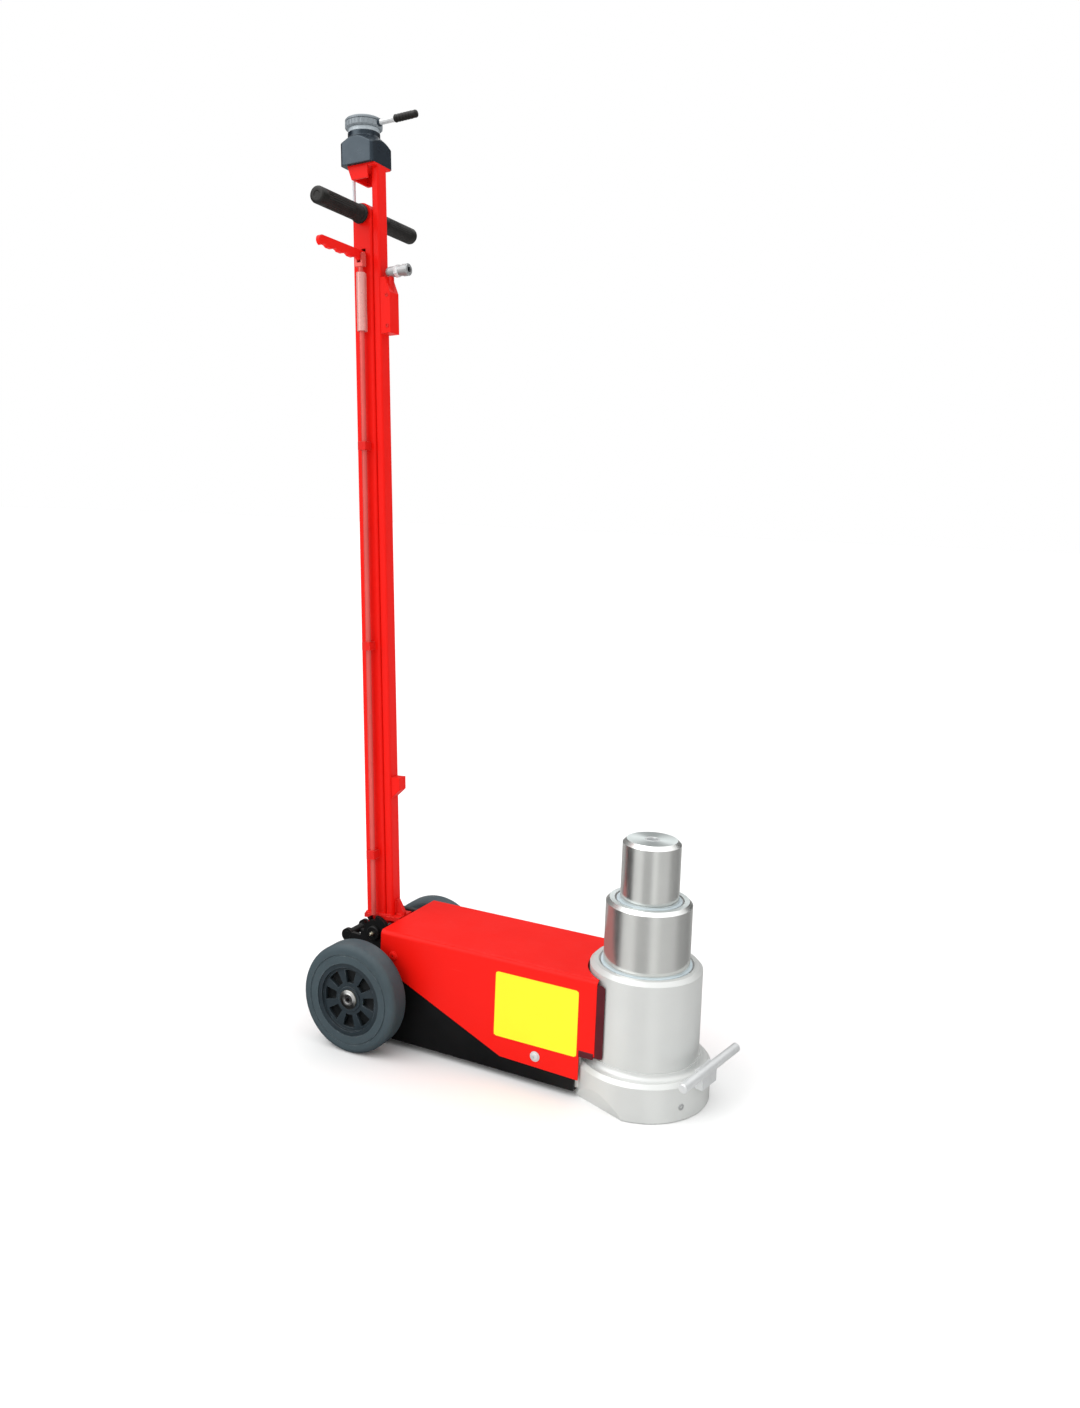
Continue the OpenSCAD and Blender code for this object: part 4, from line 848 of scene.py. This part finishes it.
axleCapLook = {"side": 0.1206, "x": -0.3843, "z": 0.075, "rim": 0.0128, "crown": 0.0080,
               "hole": 0.0046, "deep": 0.0013, "proud": 0.0011}


def buildAxleCaps():
    look = axleCapLook
    rim, crown, hole = look["rim"], look["crown"], look["hole"]
    deep, proud = look["deep"], look["proud"]
    rings = [(-deep, hole), (-deep, rim), (0.0001, rim), (0.0004, rim - 0.0006),
             (0.0006, crown + 0.0008), (proud, crown), (proud, hole + 0.0006),
             (proud - 0.0002, hole)]
    places = [facing((look["x"], side * look["side"], look["z"]), (0, side, 0)) for side in (-1, 1)]
    ringStack("axleEndCaps", rings, places, "turned_steel", "chassis", closed=True)


buildAxleCaps()

nippleLook = {"spot": (-0.410, -0.029, 0.132), "across": 0.0062, "neck": 0.0016, "ball": 0.0023}


def buildPinNipple():
    look = nippleLook
    nut, rim, neck, ball = hexagon(look["across"]), look["across"] / 2, look["neck"], look["ball"]
    rings = [(-0.0004, rim), (0.0002, nut), (0.0022, nut), (0.0026, rim), (0.0028, neck),
             (0.0040, neck), (0.0044, ball), (0.0052, ball), (0.0058, ball * 0.7),
             (0.0059, ball * 0.3), (0.0056, ball * 0.2)]
    place = facing(look["spot"], (0, -1, 0))
    ringStack("pinGreaseNipple", rings, [place], "zinc_steel", "chassis", steps=36)


buildPinNipple()

socketLook = {"face": 0.3333, "bore": 0.0080, "thick": 0.0002, "deep": 0.0110, "rim": 0.0098}


def buildSocketSleeve():
    # a thin bright liner in the socket on top of the second ram, with a small raised rim
    look = socketLook
    top, floor, rim = look["face"], look["face"] - look["deep"], look["rim"]
    outer, inner = look["bore"] + 0.0001, look["bore"] - look["thick"]
    rings = [(floor, outer), (floor, inner), (top - 0.0008, inner),
             (top + 0.0001, look["bore"] + 0.0005), (top + 0.0004, look["bore"] + 0.0008),
             (top + 0.0004, rim - 0.0003), (top + 0.0001, rim), (top - 0.0001, rim),
             (top - 0.0001, outer)]
    ringStack("socketSleeve", rings, [Matrix()], "satin_zinc", "second_stage", steps=72,
              closed=True)


buildSocketSleeve()
print("housing trim ready")

# the handle's small things. onHandle is the frame of the leaning handle at rest

handleFrame = {"pivot": (-0.410, 0.0, 0.132), "lean": 3.5}
onHandle = (Matrix.Translation(handleFrame["pivot"])
            @ Matrix.Rotation(-radians(handleFrame["lean"]), 4, "Y"))


def upHandle(point, direction):
    return onHandle @ facing(point, direction)


gripLook = {"bar": (-0.004, 1.032), "start": 0.016, "long": 0.100, "radius": 0.012,
            "flange": 0.0140, "rings": 5, "ringStart": 0.0065, "ringPitch": 0.0032,
            "flutes": 28, "fluteDeep": 0.0007, "fluteStart": 0.0275, "fluteEnd": 0.0150,
            "tip": ((0.0120, 0.0), (0.0030, 0.0), (0.0014, 0.0005), (0.0004, 0.0018),
                    (0.0, 0.0038)),
            "sides": ((-1, "rightGripSleeve", "right_grip"), (1, "leftGripSleeve", "left_grip"))}


def buildGrips():
    look = gripLook
    r, long, flange = look["radius"], look["long"], look["flange"]
    rings = [(0, flange * 0.72), (0.0003, flange - 0.0012), (0.0010, flange), (0.0030, flange),
             (0.0040, flange - 0.0006), (0.0048, r * 0.97)]
    for k in range(look["rings"]):                  # rings moulded near the flange
        z = look["ringStart"] + k * look["ringPitch"]
        rings += [(z, r * 0.96), (z + 0.0006, r), (z + 0.0018, r), (z + 0.0024, r * 0.96)]
    flutes = fluted(r, look["fluteDeep"], look["flutes"])
    first, last = look["fluteStart"], long - look["fluteEnd"]
    rings += [(first - 0.0030, r), (first - 0.0015, r), (first, flutes), (last, flutes),
              (last + 0.0015, r)]
    rings += [(long - back, r - inset) for back, inset in look["tip"]]
    rings += [(long - 0.0002, 0.0052), (long - 0.0010, 0.0044), (long - 0.0011, 0.0015)]
    x, z = look["bar"]
    for side, name, node in look["sides"]:
        place = upHandle((x, side * look["start"], z), (0, side, 0))
        piece = ringStack(name, rings, [place], "grip_rubber", "handle", steps=112)
        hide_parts(node)


buildGrips()

knobLook = {"x": -0.006, "low": 1.1543, "high": 0.014, "radius": 0.0266, "ribs": 24,
            "ribDeep": 0.0006, "ribSharp": 6, "dish": 0.0080, "hub": 0.0040}
armLook = {"up": 0.42, "rise": 1.0, "boss": 0.0056, "bossStart": 0.0220, "bossEnd": 0.0278,
           "sleeve": 0.0041, "sleeveStart": 0.0286, "grip": 0.0055, "gripStart": 0.053,
           "gripLong": 0.037, "rings": 5, "ringPitch": 0.0050}


def buildKnob():
    look = knobLook
    r, h, dish, hub = look["radius"], look["high"], look["dish"], look["hub"]
    ribs = fluted(r, look["ribDeep"], look["ribs"], look["ribSharp"])
    rings = [(0, r - 0.004), (0, r - 0.0018), (0.0008, r - 0.0010), (0.0014, ribs),
             (h * 0.60, ribs), (h * 0.62, r - 0.0014), (h * 0.67, r - 0.0016),
             (h * 0.70, r - 0.0002), (h * 0.86, r - 0.0002), (h * 0.97, r - 0.0016),
             (h, r - 0.0032), (h, r - 0.0052), (h - 0.0010, r - 0.0062), (h - 0.0010, dish),
             (h - 0.0002, dish - 0.0008), (h - 0.0002, hub), (h - 0.0010, hub - 0.0006)]
    place = onHandle @ Matrix.Translation((look["x"], 0, look["low"]))
    piece = ringStack("valveKnobShell", rings, [place], "knob_plastic", "control", steps=144,
                      sharp=28)
    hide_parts("valve_knob")


def buildArm():
    look = armLook
    along = (cos(radians(look["rise"])), 0, sin(radians(look["rise"])))
    start = (knobLook["x"], 0, knobLook["low"] + knobLook["high"] * look["up"])
    place = upHandle(start, along)
    r, end = look["boss"], look["bossEnd"]
    rings = [(look["bossStart"], r), (end, r), (end + 0.0008, r * 0.86), (end + 0.0010, r * 0.70)]
    ringStack("controlArmBoss", rings, [place], "head_plastic", "control", steps=28)
    r, low, first = look["sleeve"], look["sleeveStart"], look["gripStart"]
    rings = [(low, r * 0.9), (low + 0.0004, r), (first - 0.0040, r), (first - 0.0034, r * 1.12),
             (first - 0.0012, r * 1.12), (first - 0.0006, r), (first + 0.0004, r * 0.95)]
    ringStack("controlArmSleeve", rings, [place], "satin_zinc", "control", steps=32)
    r, end = look["grip"], first + look["gripLong"]
    rings = [(first, 0.0040), (first + 0.0002, r * 0.86), (first + 0.0012, r * 1.02),
             (first + 0.0030, r * 1.02), (first + 0.0036, r * 0.92)]
    for k in range(look["rings"]):
        z = first + look["ringPitch"] * (k + 1)
        rings += [(z, r * 0.92), (z + 0.0007, r), (z + 0.0034, r), (z + 0.0041, r * 0.92)]
    rings += [(end - 0.0060, r * 0.94), (end - 0.0025, r * 0.98), (end - 0.0010, r * 0.86),
              (end - 0.0002, r * 0.55), (end, r * 0.2)]
    piece = ringStack("controlGripSleeve", rings, [place], "grip_rubber", "control", steps=40,
                      sharp=60)
    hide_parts("control_grip")


buildKnob()
buildArm()

inletLook = {"barrel": 0.0440, "z": 0.949, "across": 0.0158, "nutLong": 0.0064, "front": 0.065,
             "ring": 0.0084, "ringLong": 0.0082, "ringSeat": 0.0080, "mouth": 0.0064,
             "knurls": 40, "knurlDeep": 0.0004, "sealLip": 0.0040, "sealBore": 0.0032,
             "stem": (0.035, 0.908), "stemTop": 0.9425, "stemRadius": 0.0046}


def buildInletNuts():
    look = inletLook
    nut, rim, long = hexagon(look["across"]), look["across"] / 2 - 0.0001, look["nutLong"]
    rings = [(0, rim), (0.0004, nut), (long - 0.0004, nut), (long, rim)]
    place = upHandle((look["barrel"], 0, look["z"]), (1, 0, 0))
    ringStack("inletBarrelNut", rings, [place], "satin_zinc", "handle", steps=36)
    rim, seat = look["ring"] - 0.0002, look["ringSeat"]
    mouth, long = look["mouth"], look["ringLong"]
    knurl = fluted(look["ring"], look["knurlDeep"], look["knurls"])
    rings = [(-long, seat), (0.0002 - long, rim), (0.0008 - long, knurl), (-0.0010, knurl),
             (-0.0004, rim), (0.0002, seat), (0.0002, mouth), (-0.0010, mouth - 0.0006)]
    place = upHandle((look["front"], 0, look["z"]), (1, 0, 0))
    ringStack("inletCollar", rings, [place], "satin_zinc", "handle", steps=120, closed=True)
    lip, bore = look["sealLip"], look["sealBore"]
    rings = [(-long, seat), (-0.0010, mouth - 0.0002), (-0.0006, mouth - 0.0008), (-0.0006, lip),
             (-0.0014, bore), (-long, bore)]
    ringStack("inletSeal", rings, [place], "hose_rubber", "handle", steps=48, closed=True)
    x, low = look["stem"]
    r, high = look["stemRadius"], look["stemTop"] - low
    rings = [(0, r), (high - 0.0020, r), (high - 0.0006, r * 0.92), (high, r * 0.80)]
    place = upHandle((x, 0, low), (0, 0, 1))
    ringStack("inletStemSleeve", rings, [place], "dark_red_paint", "handle", steps=32)


buildInletNuts()

boxScrewLook = {"spots": ((0.0345, 0.9150), (0.0345, 0.8720)), "side": 0.011, "radius": 0.0028,
                "high": 0.0011}


def buildBoxScrews():
    look = boxScrewLook
    r, h = look["radius"], look["high"]
    rings = [(-0.001, r), (h * 0.6, r), (h, r * 0.8), (h, hexagon(r * 1.1)), (h * 0.2, hexagon(r))]
    places = [upHandle((x, side * look["side"], z), (0, side, 0))
              for side in (-1, 1) for x, z in look["spots"]]
    ringStack("inletBoxScrews", rings, places, "dark_red_paint", "handle", steps=36)


buildBoxScrews()

footWeldLook = {"z": 0.0245, "radius": 0.0019, "pitch": 0.0022, "gussetRear": 0.0246,
                "gussetSide": 0.0034, "gussetTop": 0.044, "gussetFront": 0.0360,
                "outline": ((0.0235, 0.0120), (0.0132, 0.0122), (0.0118, 0.0138),
                            (-0.0188, 0.0138), (-0.0206, 0.0122), (-0.0206, -0.0122),
                            (-0.0188, -0.0138), (0.0118, -0.0138), (0.0132, -0.0122),
                            (0.0235, -0.0120))}


def buildFootWelds():
    look = footWeldLook
    z, rear = look["z"], look["gussetRear"]
    paths = [[(x, y, z) for x, y in look["outline"]]]
    for side in (-1, 1):                            # up and along both sides of the gusset
        y = side * look["gussetSide"]
        paths.append([(rear, y, z), (rear, y, look["gussetTop"])])
        paths.append([(rear, y, z), (look["gussetFront"], y, z)])
    paths = [[onHandle @ Vector(point) for point in path] for path in paths]
    beadRun("footWelds", paths, look["radius"], look["pitch"], "weld_red", "handle")


buildFootWelds()
print("handle trim ready")
